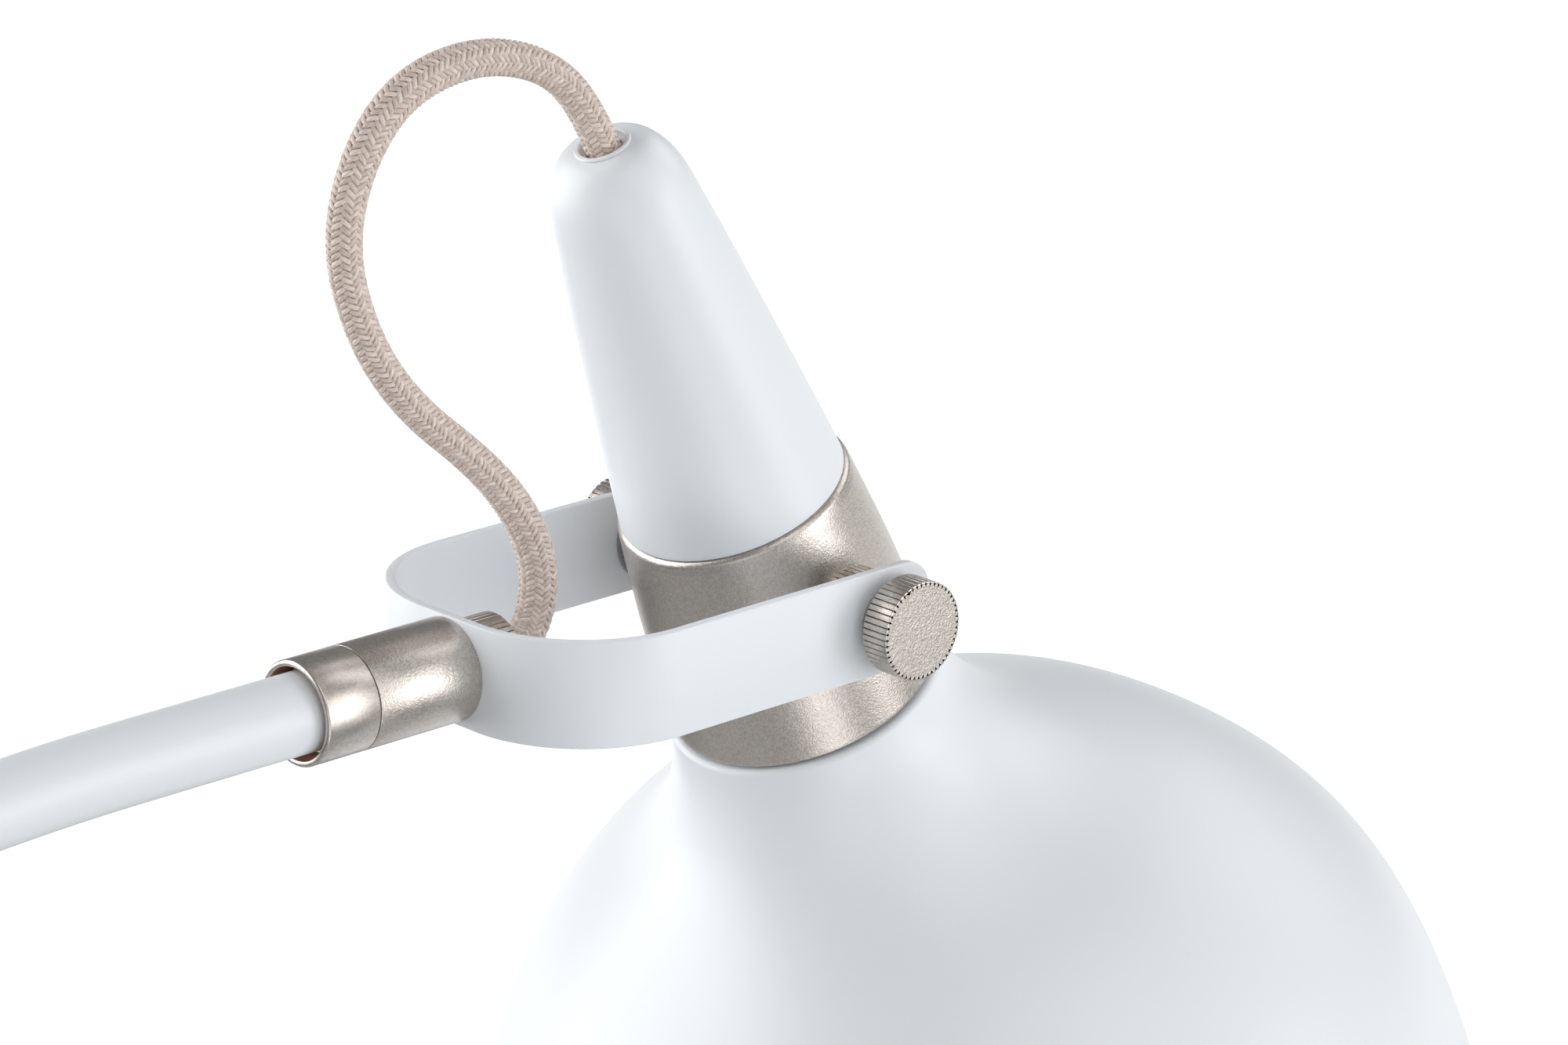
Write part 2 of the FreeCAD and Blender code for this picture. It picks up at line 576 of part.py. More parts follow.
def lampholder_pieces():
    bridge_under = HOLDER_SEAT + HOLDER_WALL + 0.2
    bridge_top = bridge_under + BRIDGE_THICK
    bridge = sleeve(COLLAR_BORE - 0.1, NIPPLE_RADIUS, bridge_under, bridge_top)
    screw_place = COLLAR_LIP + 1.9
    for x in (-screw_place, screw_place):
        bridge = bridge.cut(Part.makeCylinder(1.5, 9, Vector(x, 0, 5)))
    save("holder_bridge", on_head(bridge))
    nipple_top = 20
    save("holder_nipple", on_head(sleeve(NIPPLE_RADIUS, NIPPLE_BORE, 0.5, nipple_top)))
    nut_height = 3
    upper_nut = hexagon(14, NIPPLE_RADIUS, bridge_top, bridge_top + nut_height)
    lower_nut = hexagon(14, NIPPLE_RADIUS, HOLDER_SEAT - nut_height, HOLDER_SEAT)
    save("holder_nuts", on_head(upper_nut.fuse(lower_nut)))
    save("cord_clamp", on_head(cord_clamp(nipple_top)))
    lead = Part.makeCylinder(CORD_RADIUS, LOOP_END_S + 2, Vector(0, 0, -2))
    save("head_lead", on_head(lead))
    save("holder_top", on_head(holder_top()))
    core = sleeve(HOLDER_RADIUS - HOLDER_WALL - 0.2, 0, HOLDER_BOTTOM, HOLDER_BOTTOM + 8.5)
    save("holder_core", on_head(core))
    step = -24
    skirt_top = HOLDER_BOTTOM - 0.2
    skirt = turned([
        (SKIRT_BORE, SKIRT_BOTTOM), (SKIRT_RADIUS, SKIRT_BOTTOM), (SKIRT_RADIUS, step),
        (HOLDER_RADIUS, step), (HOLDER_RADIUS, skirt_top), (SKIRT_BORE, skirt_top),
    ])
    save("holder_skirt", on_head(skirt))
    shell = sleeve(SKIRT_BORE - 0.6, SKIRT_BORE - 1.3, BULB_FOOT_END + 2, -14)
    tongue = Part.makeBox(8, 4, 0.5, Vector(-4, -2, -13))
    save("holder_contacts", on_head(Part.makeCompound([shell, tongue])))
    save("shade_ring", on_head(shade_ring()))


def cord_clamp(nipple_top):
    """Screw cap on the nipple that grips the cord above it."""
    radius = 9
    bottom = 11.5
    top = 34
    return turned([
        (NIPPLE_RADIUS, bottom), (radius - 0.5, bottom), (radius, bottom + 0.5), (radius, top - 1),
        (radius - 1, top), (CORD_RADIUS, top), (CORD_RADIUS, nipple_top), (NIPPLE_RADIUS, nipple_top),
    ])


def holder_top():
    """Domed cover of the lampholder, open below."""
    bore = HOLDER_RADIUS - HOLDER_WALL
    roof = HOLDER_SEAT + HOLDER_WALL
    return turned([
        (NIPPLE_RADIUS, HOLDER_SEAT), (bore - 3, HOLDER_SEAT), (bore, 0), (bore, HOLDER_BOTTOM),
        (HOLDER_RADIUS, HOLDER_BOTTOM), (HOLDER_RADIUS, 1), (HOLDER_RADIUS - 4, roof),
        (NIPPLE_RADIUS, roof),
    ])


def shade_ring():
    """Flanged ring that holds the shade's neck against the collar."""
    top = SHADE_TOP - SHADE_WALL - 0.05
    flange = 25.5
    grip = 23
    return turned([
        (SKIRT_RADIUS, top), (flange, top), (flange, top - 2), (grip, top - 3), (grip, top - 9),
        (SKIRT_RADIUS, top - 9),
    ])


def bulb_pieces():
    foot = turned([
        (0, -13.8), (4.5, -13.8), (9, -17), (BULB_FOOT_RADIUS, -18),
        (BULB_FOOT_RADIUS, BULB_FOOT_END), (0, BULB_FOOT_END),
    ])
    save("bulb_foot", on_head(foot))
    glass = bulb_body(BULB_RADIUS).cut(bulb_body(BULB_RADIUS - 1))
    save("bulb_glass", on_head(glass))


def bulb_body(radius):
    """Closed pear shape: a neck, a flare and a ball."""
    inset = BULB_RADIUS - radius

    def on_ball(degrees):
        angle = math.radians(degrees)
        return Vector(radius * math.cos(angle), 0, BULB_CENTRE + radius * math.sin(angle))

    shoulder = on_ball(25)
    neck = [(13.2 - inset, -40.2 - inset), (14.5 - inset, -52), (22 - inset, -68)]
    flare = smooth_curve(neck + [(shoulder.x, shoulder.z)])
    ball = Part.Arc(shoulder, on_ball(-30), on_ball(-90)).toShape()
    axis = section_line((0, BULB_CENTRE - radius), (0, neck[0][1]))
    return closed_spin([flare, ball, axis])


# ---- cords --------------------------------------------------------------------------------
def cord_pieces():
    inner_end = Vector(-BASE_RADIUS + 20, 0, INLET_HEIGHT)
    bend_start = Vector(-LEAD_BEND, 0, INLET_HEIGHT)
    bend_end = Vector(0, 0, INLET_HEIGHT + LEAD_BEND)
    slant = LEAD_BEND * math.sqrt(0.5)
    bend_middle = Vector(-LEAD_BEND + slant, 0, INLET_HEIGHT + LEAD_BEND - slant)
    base_path = Part.Wire([
        Part.LineSegment(inner_end, bend_start).toShape(),
        Part.Arc(bend_start, bend_middle, bend_end).toShape(),
        Part.LineSegment(bend_end, Vector(0, 0, SPIGOT_TOP)).toShape(),
    ])
    save("base_lead", cord(base_path, inner_end, X_AXIS))
    save("post_lead", Part.makeCylinder(CORD_RADIUS, ARM_BOTTOM - SPIGOT_TOP, Vector(0, 0, SPIGOT_TOP)))
    save("arm_lead", bent_tube(CORD_RADIUS, 0, ARM_BOTTOM, -96.3))
    yoke_lead = Part.makeCylinder(CORD_RADIUS, CORD_START + 96, Vector(0, 0, -96))
    save("yoke_lead", along_x(yoke_lead))
    route = [PIVOT.add(Vector(x, 0, z)) for x, z in LOOP_ROUTE]
    loop_path, radii = cord_path(route)
    print("loop radii", [round(radius, 1) for radius in radii])
    save("cord_loop", cord(loop_path, route[0], route[1].sub(route[0])))


os.makedirs("parts", exist_ok=True)
base_pieces()
post_pieces()
arm_pieces()
yoke_pieces()
head_shells()
pivot_pieces()
lampholder_pieces()
bulb_pieces()
cord_pieces()
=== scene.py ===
import json
import math

import bmesh
import bpy
import numpy
from mathutils import Matrix, Vector

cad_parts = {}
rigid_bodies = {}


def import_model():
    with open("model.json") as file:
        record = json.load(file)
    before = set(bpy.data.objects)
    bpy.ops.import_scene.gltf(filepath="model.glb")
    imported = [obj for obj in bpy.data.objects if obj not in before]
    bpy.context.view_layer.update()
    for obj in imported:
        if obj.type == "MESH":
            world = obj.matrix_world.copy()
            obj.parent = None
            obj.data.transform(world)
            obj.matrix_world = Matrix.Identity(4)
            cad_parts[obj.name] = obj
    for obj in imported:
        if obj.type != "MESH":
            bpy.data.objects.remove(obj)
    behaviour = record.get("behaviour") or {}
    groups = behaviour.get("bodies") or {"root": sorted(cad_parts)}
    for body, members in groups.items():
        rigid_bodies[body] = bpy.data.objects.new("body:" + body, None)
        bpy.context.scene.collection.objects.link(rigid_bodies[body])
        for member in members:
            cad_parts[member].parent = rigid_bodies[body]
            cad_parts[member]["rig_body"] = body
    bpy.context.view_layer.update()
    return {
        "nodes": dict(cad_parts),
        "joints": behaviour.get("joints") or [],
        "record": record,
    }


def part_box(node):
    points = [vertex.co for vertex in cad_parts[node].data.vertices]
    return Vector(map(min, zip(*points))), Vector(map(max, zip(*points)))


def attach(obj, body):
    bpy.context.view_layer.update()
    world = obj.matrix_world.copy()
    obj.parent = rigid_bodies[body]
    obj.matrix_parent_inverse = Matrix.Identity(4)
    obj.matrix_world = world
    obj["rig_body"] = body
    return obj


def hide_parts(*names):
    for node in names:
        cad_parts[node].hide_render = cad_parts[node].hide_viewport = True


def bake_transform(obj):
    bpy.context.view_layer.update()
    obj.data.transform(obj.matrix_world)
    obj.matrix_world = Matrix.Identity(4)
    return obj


bl_info = {
    "name": "Arc floor lamp",
    "version": (1, 0, 0),
    "blender": (4, 5, 0),
    "location": "View3D > Sidebar > Lamp",
    "description": "Builds the pieces, finishes and studio of an arc floor lamp on its packed frame",
    "category": "Add Mesh",
}

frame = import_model()
NODES = frame["nodes"]
JOINTS = {joint["name"]: joint for joint in frame["joints"]}
SLOTS = {node["node"]: node["material_slot"] for node in frame["record"]["subparts"]}

MM = 0.001
ALL_ROUND = 2 * math.pi
QUARTER_TURN = math.pi / 2
SHARP_ANGLE = math.radians(38)
SAME_PLACE = 1e-7
HEAD_TILT = math.radians(24)

# Places: the tilt pivot, and the directions that turned pieces are built along.
PIVOT = Vector(JOINTS["head_tilt"]["pos_m"])
UPRIGHT = Matrix.Identity(4)
ALONG_ARM = Matrix.Translation(PIVOT) @ Matrix.Rotation(math.radians(90), 4, "Y")
ON_HEAD = Matrix.Translation(PIVOT) @ Matrix.Rotation(-HEAD_TILT, 4, "Y")
TO_LEFT = ON_HEAD @ Matrix.Rotation(math.radians(-90), 4, "X")
TO_RIGHT = ON_HEAD @ Matrix.Rotation(math.radians(90), 4, "X")
LOCK_AXIS = (
    Matrix.Translation(JOINTS["lock_turn"]["pos_m"]) @ Matrix.Rotation(math.radians(-90), 4, "Y")
)

# The loop of cord from the gland nut up and over to the head's top, as (x, z) from the pivot, in mm.
LOOP_ROUTE = [
    (-73.2, 0.0), (-65.5, 0.0), (-60.6, 6.0), (-59.9, 17.0), (-65.3, 28.6), (-75.0, 40.0),
    (-92.5, 54.8), (-103.2, 70.3), (-108.6, 88.5), (-104.4, 104.6), (-93.6, 116.8),
    (-75.5, 120.6), (-58.0, 116.0), (-47.0, 105.4), (-41.1, 92.3),
]

# Outlines of the head's shells, as (radius, height along the head's axis), in mm.
COLLAR_SIDE = [(24.2, 22.3), (26.5, 0.0), (28.0, -27.0)]
CAP_SIDE = [
    (23.5, 22.5), (21.5, 40.0), (19.0, 60.0), (16.4, 80.0), (15.0, 90.0), (13.5, 98.0),
    (11.2, 103.0), (8.6, 105.6), (5.6, 106.4),
]
SHADE_SIDE = [
    (29.2, -27.6), (29.9, -34.0), (32.8, -42.0), (37.3, -50.0), (46.1, -60.0), (66.0, -75.0),
    (85.2, -95.0), (100.2, -120.0), (106.4, -150.0), (107.0, -185.0), (105.6, -214.0),
]

# The collar's recesses: from the head's axis out to their floor.
RECESS_FLOOR = 23.4 * MM

# Knurled discs: the round on their rims, and how far a hub or shank sinks into one.
RIM = 0.14 * MM
SUNK = 0.5 * MM

# Soft boxes round the head: name, degrees round from the camera towards its right, degrees up,
# side in metres, power in watts.
SOFT_BOXES = (
    ("left_wall", -95, 15, 2.0, 36.1),
    ("right_wall", 63, 4, 2.0, 8.0),
    ("right_low", 72, -3, 0.8, 4.6),
    ("right_strip", 80, 15, 0.8, 3.2),
    ("front_top", 30, 45, 1.2, 5.2),
    ("front", 0, -10, 1.2, 4.8),
    ("front_low", 30, -33, 0.8, 3.9),
    ("back_top", 130, 40, 1.2, 7.4),
)


# ---- what a user would change ---------------------------------------------------------------
class LampSizes(bpy.types.PropertyGroup):
    """Fine sizes that the frame doesn't hold."""

    steps: bpy.props.IntProperty(
        name="Steps round", description="Faces round a large turned piece", default=192, min=24)
    edge: bpy.props.FloatProperty(
        name="Edge round", description="Small round on machined edges", default=0.00025,
        unit="LENGTH", precision=5)
    strap_edge: bpy.props.FloatProperty(
        name="Strap edge round", description="Round that the coat leaves on the strap's edges",
        default=0.0003, unit="LENGTH", precision=5)
    shade_wall: bpy.props.FloatProperty(
        name="Shade wall", description="Thickness of the spun shade", default=0.0012,
        unit="LENGTH", precision=5)
    cap_wall: bpy.props.FloatProperty(
        name="Cap wall", description="Thickness of the spun cap", default=0.0015,
        unit="LENGTH", precision=5)
    knob_teeth: bpy.props.IntProperty(
        name="Knob grooves", description="Straight grooves round a thumb knob", default=50)
    gland_teeth: bpy.props.IntProperty(
        name="Gland grooves", description="Straight grooves round the gland nut", default=44)
    groove_depth: bpy.props.FloatProperty(
        name="Groove depth", description="Depth of the knurl's grooves", default=0.00036,
        unit="LENGTH", precision=5)
    cord_width: bpy.props.FloatProperty(
        name="Cord width", description="Outside width of the braided cord", default=0.007,
        unit="LENGTH", precision=5)
    cord_length: bpy.props.FloatProperty(
        name="Cord length", description="Length of the loop between gland and head", default=0.207,
        unit="LENGTH", precision=4)
    carriers: bpy.props.IntProperty(
        name="Carriers", description="Yarns that run round the cord each way", default=12)
    lay: bpy.props.FloatProperty(
        name="Lay", description="Length in which a yarn runs once round the cord", default=0.0156,
        unit="LENGTH", precision=4)


class LampColours(bpy.types.PropertyGroup):
    """Finishes' colours, as linear light."""

    coat: bpy.props.FloatVectorProperty(
        name="Coat", description="Cool white powder coat", subtype="COLOR", size=4,
        default=(0.80, 0.835, 0.87, 1))
    nickel: bpy.props.FloatVectorProperty(
        name="Nickel", description="Blasted champagne nickel", subtype="COLOR", size=4,
        default=(0.60, 0.555, 0.51, 1))
    copper: bpy.props.FloatVectorProperty(
        name="Copper", description="Bare bore of the ring", subtype="COLOR", size=4,
        default=(0.62, 0.43, 0.34, 1))
    yarn_light: bpy.props.FloatVectorProperty(
        name="Light yarn", description="Lighter fibres of the cord", subtype="COLOR", size=4,
        default=(0.88, 0.775, 0.705, 1))
    yarn_dark: bpy.props.FloatVectorProperty(
        name="Dark yarn", description="Darker fibres of the cord", subtype="COLOR", size=4,
        default=(0.48, 0.38, 0.325, 1))
    floor: bpy.props.FloatVectorProperty(
        name="Floor", description="Pale studio floor", subtype="COLOR", size=4,
        default=(0.5, 0.5, 0.505, 1))


class StudioSettings(bpy.types.PropertyGroup):
    """The camera's view of the head, and the soft light round it."""

    turn: bpy.props.FloatProperty(
        name="Turn", description="Camera's turn about the upright", default=-0.755,
        subtype="ANGLE")
    tip: bpy.props.FloatProperty(
        name="Tip", description="Camera's height above the horizon", default=0.321,
        subtype="ANGLE")
    roll: bpy.props.FloatProperty(
        name="Roll", description="Camera's roll about its own line", default=0.008,
        subtype="ANGLE")
    distance: bpy.props.FloatProperty(
        name="Distance", description="Camera to pivot", default=1.26335, unit="LENGTH")
    aside: bpy.props.FloatProperty(
        name="Aside", description="Camera's place right of the pivot", default=0.003985,
        unit="LENGTH")
    above: bpy.props.FloatProperty(
        name="Above", description="Camera's place above the pivot", default=0.010648,
        unit="LENGTH")
    lens: bpy.props.FloatProperty(
        name="Lens", description="Focal length in millimetres", default=144)
    tent: bpy.props.FloatProperty(
        name="Tent", description="Brightness of the grey surround", default=0.25)
    floor_glow: bpy.props.FloatProperty(
        name="Floor glow", description="Light that the floor gives off behind the lamp",
        default=1.0)
    boxes: bpy.props.FloatProperty(
        name="Soft boxes", description="Share of the soft boxes' full power", default=1.0)
    reach: bpy.props.FloatProperty(
        name="Reach", description="Pivot to each soft box", default=1.7, unit="LENGTH")


def sizes():
    return bpy.context.scene.lamp_sizes


def colours():
    return bpy.context.scene.lamp_colours


def studio():
    return bpy.context.scene.lamp_studio


# ---- shader graph ---------------------------------------------------------------------------
class Number:
    """A shader value that takes part in plain arithmetic."""

    def __init__(self, graph, socket):
        self.graph = graph
        self.socket = socket

    def __add__(self, other):
        return self.graph.maths("ADD", self, other)

    def __mul__(self, other):
        return self.graph.maths("MULTIPLY", self, other)

    __radd__ = __add__
    __rmul__ = __mul__


class Graph:
    """A node tree that is written one node at a time."""

    def __init__(self, tree):
        self.tree = tree
        tree.nodes.clear()

    def node(self, kind, settings=None, inputs=None):
        """A node of one type; its settings are set first, then its sockets' values and links."""
        made = self.tree.nodes.new(kind)
        for name, value in (settings or {}).items():
            setattr(made, name, value)
        for name, value in (inputs or {}).items():
            source = value.socket if isinstance(value, Number) else value
            if isinstance(source, bpy.types.NodeSocket):
                self.tree.links.new(source, made.inputs[name])
            else:
                made.inputs[name].default_value = source
        return made

    def maths(self, operation, first, second):
        made = self.node("ShaderNodeMath", {"operation": operation}, {0: first, 1: second})
        return Number(self, made.outputs[0])

    def ramped(self, value, low, high):
        """The value run from 0 at low to 1 at high, with soft ends."""
        made = self.node(
            "ShaderNodeMapRange",
            {"interpolation_type": "SMOOTHSTEP"},
            {"Value": value, "From Min": low, "From Max": high},
        )
        return Number(self, made.outputs["Result"])

    def mixed(self, share, first, second):
        """A colour between two colours."""
        made = self.node("ShaderNodeMix", {"data_type": "RGBA"}, {0: share, 6: first, 7: second})
        return made.outputs[2]

    def coordinates(self, kind="Object"):
        return self.node("ShaderNodeTexCoord").outputs[kind]

    def noise(self, place, scale, detail=2.0):
        made = self.node("ShaderNodeTexNoise", None, {
            "Vector": place, "Scale": scale, "Detail": detail})
        return Number(self, made.outputs[0])

    def stretched(self, place, scale):
        """Coordinates scaled by their own amount along each axis."""
        made = self.node("ShaderNodeMapping", None, {"Vector": place, "Scale": scale})
        return made.outputs[0]

    def bump(self, height, distance, strength=1.0):
        made = self.node("ShaderNodeBump", None, {
            "Height": height, "Distance": distance, "Strength": strength})
        return made.outputs[0]

    def surface(self, **inputs):
        """The finished surface; socket names are given with _ for each space."""
        named = {name.replace("_", " "): value for name, value in inputs.items()}
        shader = self.node("ShaderNodeBsdfPrincipled", None, named)
        self.node("ShaderNodeOutputMaterial", None, {"Surface": shader.outputs[0]})


def shaded(colour, share):
    """A colour made lighter or darker."""
    return tuple(channel * share for channel in colour[:3]) + (1.0,)


def new_finish(name):
    material = bpy.data.materials.new(name)
    material.use_nodes = True
    return material, Graph(material.node_tree)


# ---- finishes -------------------------------------------------------------------------------
def powder_coat(name, tint, rough, peel):
    """Satin coat: a faint cloudiness in tone and gloss, over a very fine pebbled surface."""
    material, graph = new_finish(name)
    place = graph.coordinates()
    cloud = graph.noise(place, 18, 3)
    grain = graph.noise(place, 1600, 2)
    ripple = graph.noise(place, 420, 2)
    graph.surface(
        Base_Color=graph.mixed(cloud, shaded(tint, 0.985), shaded(tint, 1.01)),
        Roughness=rough + 0.05 * grain,
        Normal=graph.bump(grain + 0.8 * ripple, peel, 0.35),
        Specular_IOR_Level=0.5,
        Coat_Weight=0.12,
        Coat_Roughness=0.25,
    )
    return material


def blasted_metal(name, tint, rough, grit):
    """Fine bead-blasted metal, with grit in height, gloss and tone."""
    material, graph = new_finish(name)
    place = graph.coordinates()
    fine = graph.noise(place, 2600, 2)
    coarse = graph.noise(place, 1100, 2)
    cloud = graph.noise(place, 30, 2)
    speck = 0.65 * fine + 0.35 * coarse
    light = graph.ramped(speck, 0.3, 0.7)
    graph.surface(
        Base_Color=graph.mixed(light, shaded(tint, 0.84), shaded(tint, 1.12)),
        Metallic=1.0,
        Roughness=rough + 0.10 * speck + 0.03 * cloud,
        Normal=graph.bump(speck, grit, 0.7),
    )
    return material


def turned_metal(name, tint, rough):
    """Machined metal with fine tool rings softened by handling."""
    material, graph = new_finish(name)
    place = graph.coordinates()
    streak = graph.noise(graph.stretched(place, (900, 900, 5000)), 1, 2)
    smear = graph.noise(place, 90, 3)
    graph.surface(
        Base_Color=graph.mixed(smear, shaded(tint, 0.92), shaded(tint, 1.05)),
        Metallic=1.0,
        Roughness=rough + 0.08 * smear,
        Normal=graph.bump(streak, 0.00002, 0.3),
    )
    return material


def cast_iron(name, tint):
    """Rough cast ballast with a dull oiled skin."""
    material, graph = new_finish(name)
    place = graph.coordinates()
    pits = graph.noise(place, 500, 4)
    stain = graph.noise(place, 25, 3)
    graph.surface(
        Base_Color=graph.mixed(stain, shaded(tint, 0.7), shaded(tint, 1.2)),
        Metallic=0.6,
        Roughness=0.55 + 0.2 * pits,
        Normal=graph.bump(pits, 0.0004, 0.6),
    )
    return material


def moulded(name, tint, rough, texture=0.00003):
    """Moulded plastic or rubber with a light spark-eroded texture."""
    material, graph = new_finish(name)
    place = graph.coordinates()
    grain = graph.noise(place, 1100, 2)
    cloud = graph.noise(place, 40, 2)
    graph.surface(
        Base_Color=graph.mixed(cloud, shaded(tint, 0.95), shaded(tint, 1.04)),
        Roughness=rough + 0.08 * grain,
        Normal=graph.bump(grain, texture, 0.4),
    )
    return material


def glazed(name, tint):
    """Glazed ceramic with faint firing clouds."""
    material, graph = new_finish(name)
    place = graph.coordinates()
    cloud = graph.noise(place, 70, 3)
    graph.surface(
        Base_Color=graph.mixed(cloud, shaded(tint, 0.93), shaded(tint, 1.03)),
        Roughness=0.18 + 0.06 * cloud,
        Normal=graph.bump(cloud, 0.00005, 0.3),
        Coat_Weight=0.5,
        Coat_Roughness=0.05,
    )
    return material


def opal_glass(name):
    """White coated bulb: milky inside, glossy outside."""
    material, graph = new_finish(name)
    place = graph.coordinates()
    cloud = graph.noise(place, 60, 2)
    graph.surface(
        Base_Color=graph.mixed(cloud, (0.86, 0.86, 0.84, 1), (0.92, 0.915, 0.90, 1)),
        Roughness=0.22 + 0.08 * cloud,
        Normal=graph.bump(cloud, 0.00003, 0.2),
        Coat_Weight=0.8,
        Coat_Roughness=0.04,
        Subsurface_Weight=0.15,
        Subsurface_Radius=(0.004, 0.004, 0.004),
        Subsurface_Scale=1.0,
    )
    return material


def braided_yarn(name):
    """Textile cord: fibres run along each yarn, and the yarns differ a little in tone."""
    material, graph = new_finish(name)
    along = graph.coordinates("UV")
    fibre = graph.noise(graph.stretched(along, (26, 700, 1)), 1, 2)
    fuzz = graph.noise(graph.coordinates(), 5200, 2)
    yarn = graph.node("ShaderNodeAttribute", {"attribute_name": "yarn_tone"})
    tone = Number(graph, yarn.outputs["Fac"])
    light = graph.ramped(0.55 * fibre + 0.33 * fuzz + 0.12 * tone, 0.3, 0.7)
    graph.surface(
        Base_Color=graph.mixed(light, colours().yarn_dark, colours().yarn_light),
        Roughness=0.40 + 0.15 * fuzz,
        Normal=graph.bump(fibre + 0.4 * fuzz, 0.00006, 0.6),
        Sheen_Weight=0.3,
        Sheen_Roughness=0.35,
    )
    return material


def studio_floor():
    """Pale seamless floor that is lit from below past the lamp, as a lit sweep is."""
    material, graph = new_finish("studio_floor")
    glow_begins = 2.6
    glow_full = 3.3
    place = graph.coordinates()
    cloud = graph.noise(place, 0.4, 2)
    back = view_axes()[2]
    ahead = -Vector((back.x, back.y, 0)).normalized()
    distance = graph.node("ShaderNodeVectorMath", {"operation": "DOT_PRODUCT"}, {
        0: place, 1: ahead})
    lit = graph.ramped(Number(graph, distance.outputs["Value"]), glow_begins, glow_full)
    graph.surface(
        Base_Color=graph.mixed(cloud, shaded(colours().floor, 0.99), colours().floor),
        Roughness=0.7 + 0.1 * cloud,
        Emission_Color=graph.mixed(lit, (0, 0, 0, 1), (1, 1, 1, 1)),
        Emission_Strength=studio().floor_glow,
    )
    return material


def make_finishes():
    """Every material slot's finish, by the slot's name."""
    coat = colours().coat
    nickel = colours().nickel
    return {
        "white_coat_steel": powder_coat("white_coat_steel", coat, 0.40, 0.00006),
        "white_coat_aluminium": powder_coat("white_coat_aluminium", coat, 0.38, 0.00004),
        "champagne_metal": blasted_metal("champagne_metal", nickel, 0.27, 0.00013),
        "plain_steel": turned_metal("plain_steel", (0.55, 0.55, 0.56, 1), 0.25),
        "ballast_iron": cast_iron("ballast_iron", (0.09, 0.09, 0.095, 1)),
        "pad_rubber": moulded("pad_rubber", (0.05, 0.05, 0.055, 1), 0.7, 0.0001),
        "white_plastic": moulded("white_plastic", (0.80, 0.81, 0.83, 1), 0.35),
        "grey_plastic": moulded("grey_plastic", (0.30, 0.32, 0.35, 1), 0.4),
        "holder_plastic": moulded("holder_plastic", (0.72, 0.73, 0.74, 1), 0.38),
        "holder_ceramic": glazed("holder_ceramic", (0.82, 0.81, 0.78, 1)),
        "contact_brass": turned_metal("contact_brass", (0.72, 0.52, 0.24, 1), 0.25),
        "bulb_metal": turned_metal("bulb_metal", (0.70, 0.69, 0.66, 1), 0.22),
        "bulb_glass": opal_glass("bulb_glass"),
        "cord_textile": braided_yarn("cord_textile"),
        "bright_nickel": blasted_metal("bright_nickel", nickel, 0.27, 0.00001),
        "copper_bore": turned_metal("copper_bore", colours().copper, 0.3),
    }


FINISHES = {}


def finish(name):
    """The finish of that name; they are all made the first time that one is asked for."""
    if not FINISHES:
        FINISHES.update(make_finishes())
    return FINISHES[name]


# ---- shaping --------------------------------------------------------------------------------
def extents(node, placing):
    """Lowest and highest corner of a CAD node in the axes that the matrix places."""
    mesh = NODES[node].data
    points = numpy.empty(len(mesh.vertices) * 3, numpy.float32)
    mesh.vertices.foreach_get("co", points)
    inverse = numpy.array(placing.inverted())
    points = points.reshape(-1, 3) @ inverse[:3, :3].T + inverse[:3, 3]
    return Vector(points.min(axis=0)), Vector(points.max(axis=0))


def smooth_through(points, count):
    """Smooth line of count points through a few (radius, height) points: a natural cubic."""
    knots = numpy.array(points, float)
    runs = numpy.hypot(*numpy.diff(knots, axis=0).T)
    places = numpy.concatenate([[0.0], numpy.cumsum(runs)])
    size = len(knots)
    system = numpy.eye(size)
    wanted = numpy.zeros((size, 2))
    for row in range(1, size - 1):
        before, after = runs[row - 1], runs[row]
        system[row, row - 1:row + 2] = before, 2 * (before + after), after
        slope_before = (knots[row] - knots[row - 1]) / before
        slope_after = (knots[row + 1] - knots[row]) / after
        wanted[row] = 6 * (slope_after - slope_before)
    bends = numpy.linalg.solve(system, wanted)
    line = []
    for place in numpy.linspace(0, places[-1], count):
        span = min(numpy.searchsorted(places, place, side="right") - 1, size - 2)
        run = runs[span]
        share = (place - places[span]) / run
        rest = 1 - share
        sag = (rest ** 3 - rest) * bends[span] + (share ** 3 - share) * bends[span + 1]
        point = rest * knots[span] + share * knots[span + 1] + sag * run * run / 6
        line.append(tuple(float(number) for number in point))
    return line


def in_metres(points):
    return [(radius * MM, height * MM) for radius, height in points]


def rounded(radius, top, size):
    """A quarter round from a turned piece's side, up and in to its top."""
    steps = 10
    angles = [math.radians(90 * step / steps) for step in range(steps + 1)]
    return [
        (radius - size + size * math.cos(angle), top - size + size * math.sin(angle))
        for angle in angles
    ]


def moved_in(line, distance):
    """The same line moved towards the axis, square to itself."""
    moved = []
    for index, (radius, height) in enumerate(line):
        before = line[max(index - 1, 0)]
        after = line[min(index + 1, len(line) - 1)]
        run = math.hypot(after[0] - before[0], after[1] - before[1])
        moved.append((
            radius + distance * (after[1] - before[1]) / run,
            height - distance * (after[0] - before[0]) / run,
        ))
    return moved


def soften(shape, width, segments=2, angle=math.radians(28)):
    """A small round on every edge sharper than the angle."""
    sharp = [edge for edge in shape.edges if edge.is_manifold and edge.calc_face_angle() > angle]
    bmesh.ops.bevel(
        shape, geom=sharp, offset=width, offset_type="OFFSET", affect="EDGES",
        segments=segments, profile=0.5, material=-1, clamp_overlap=True)


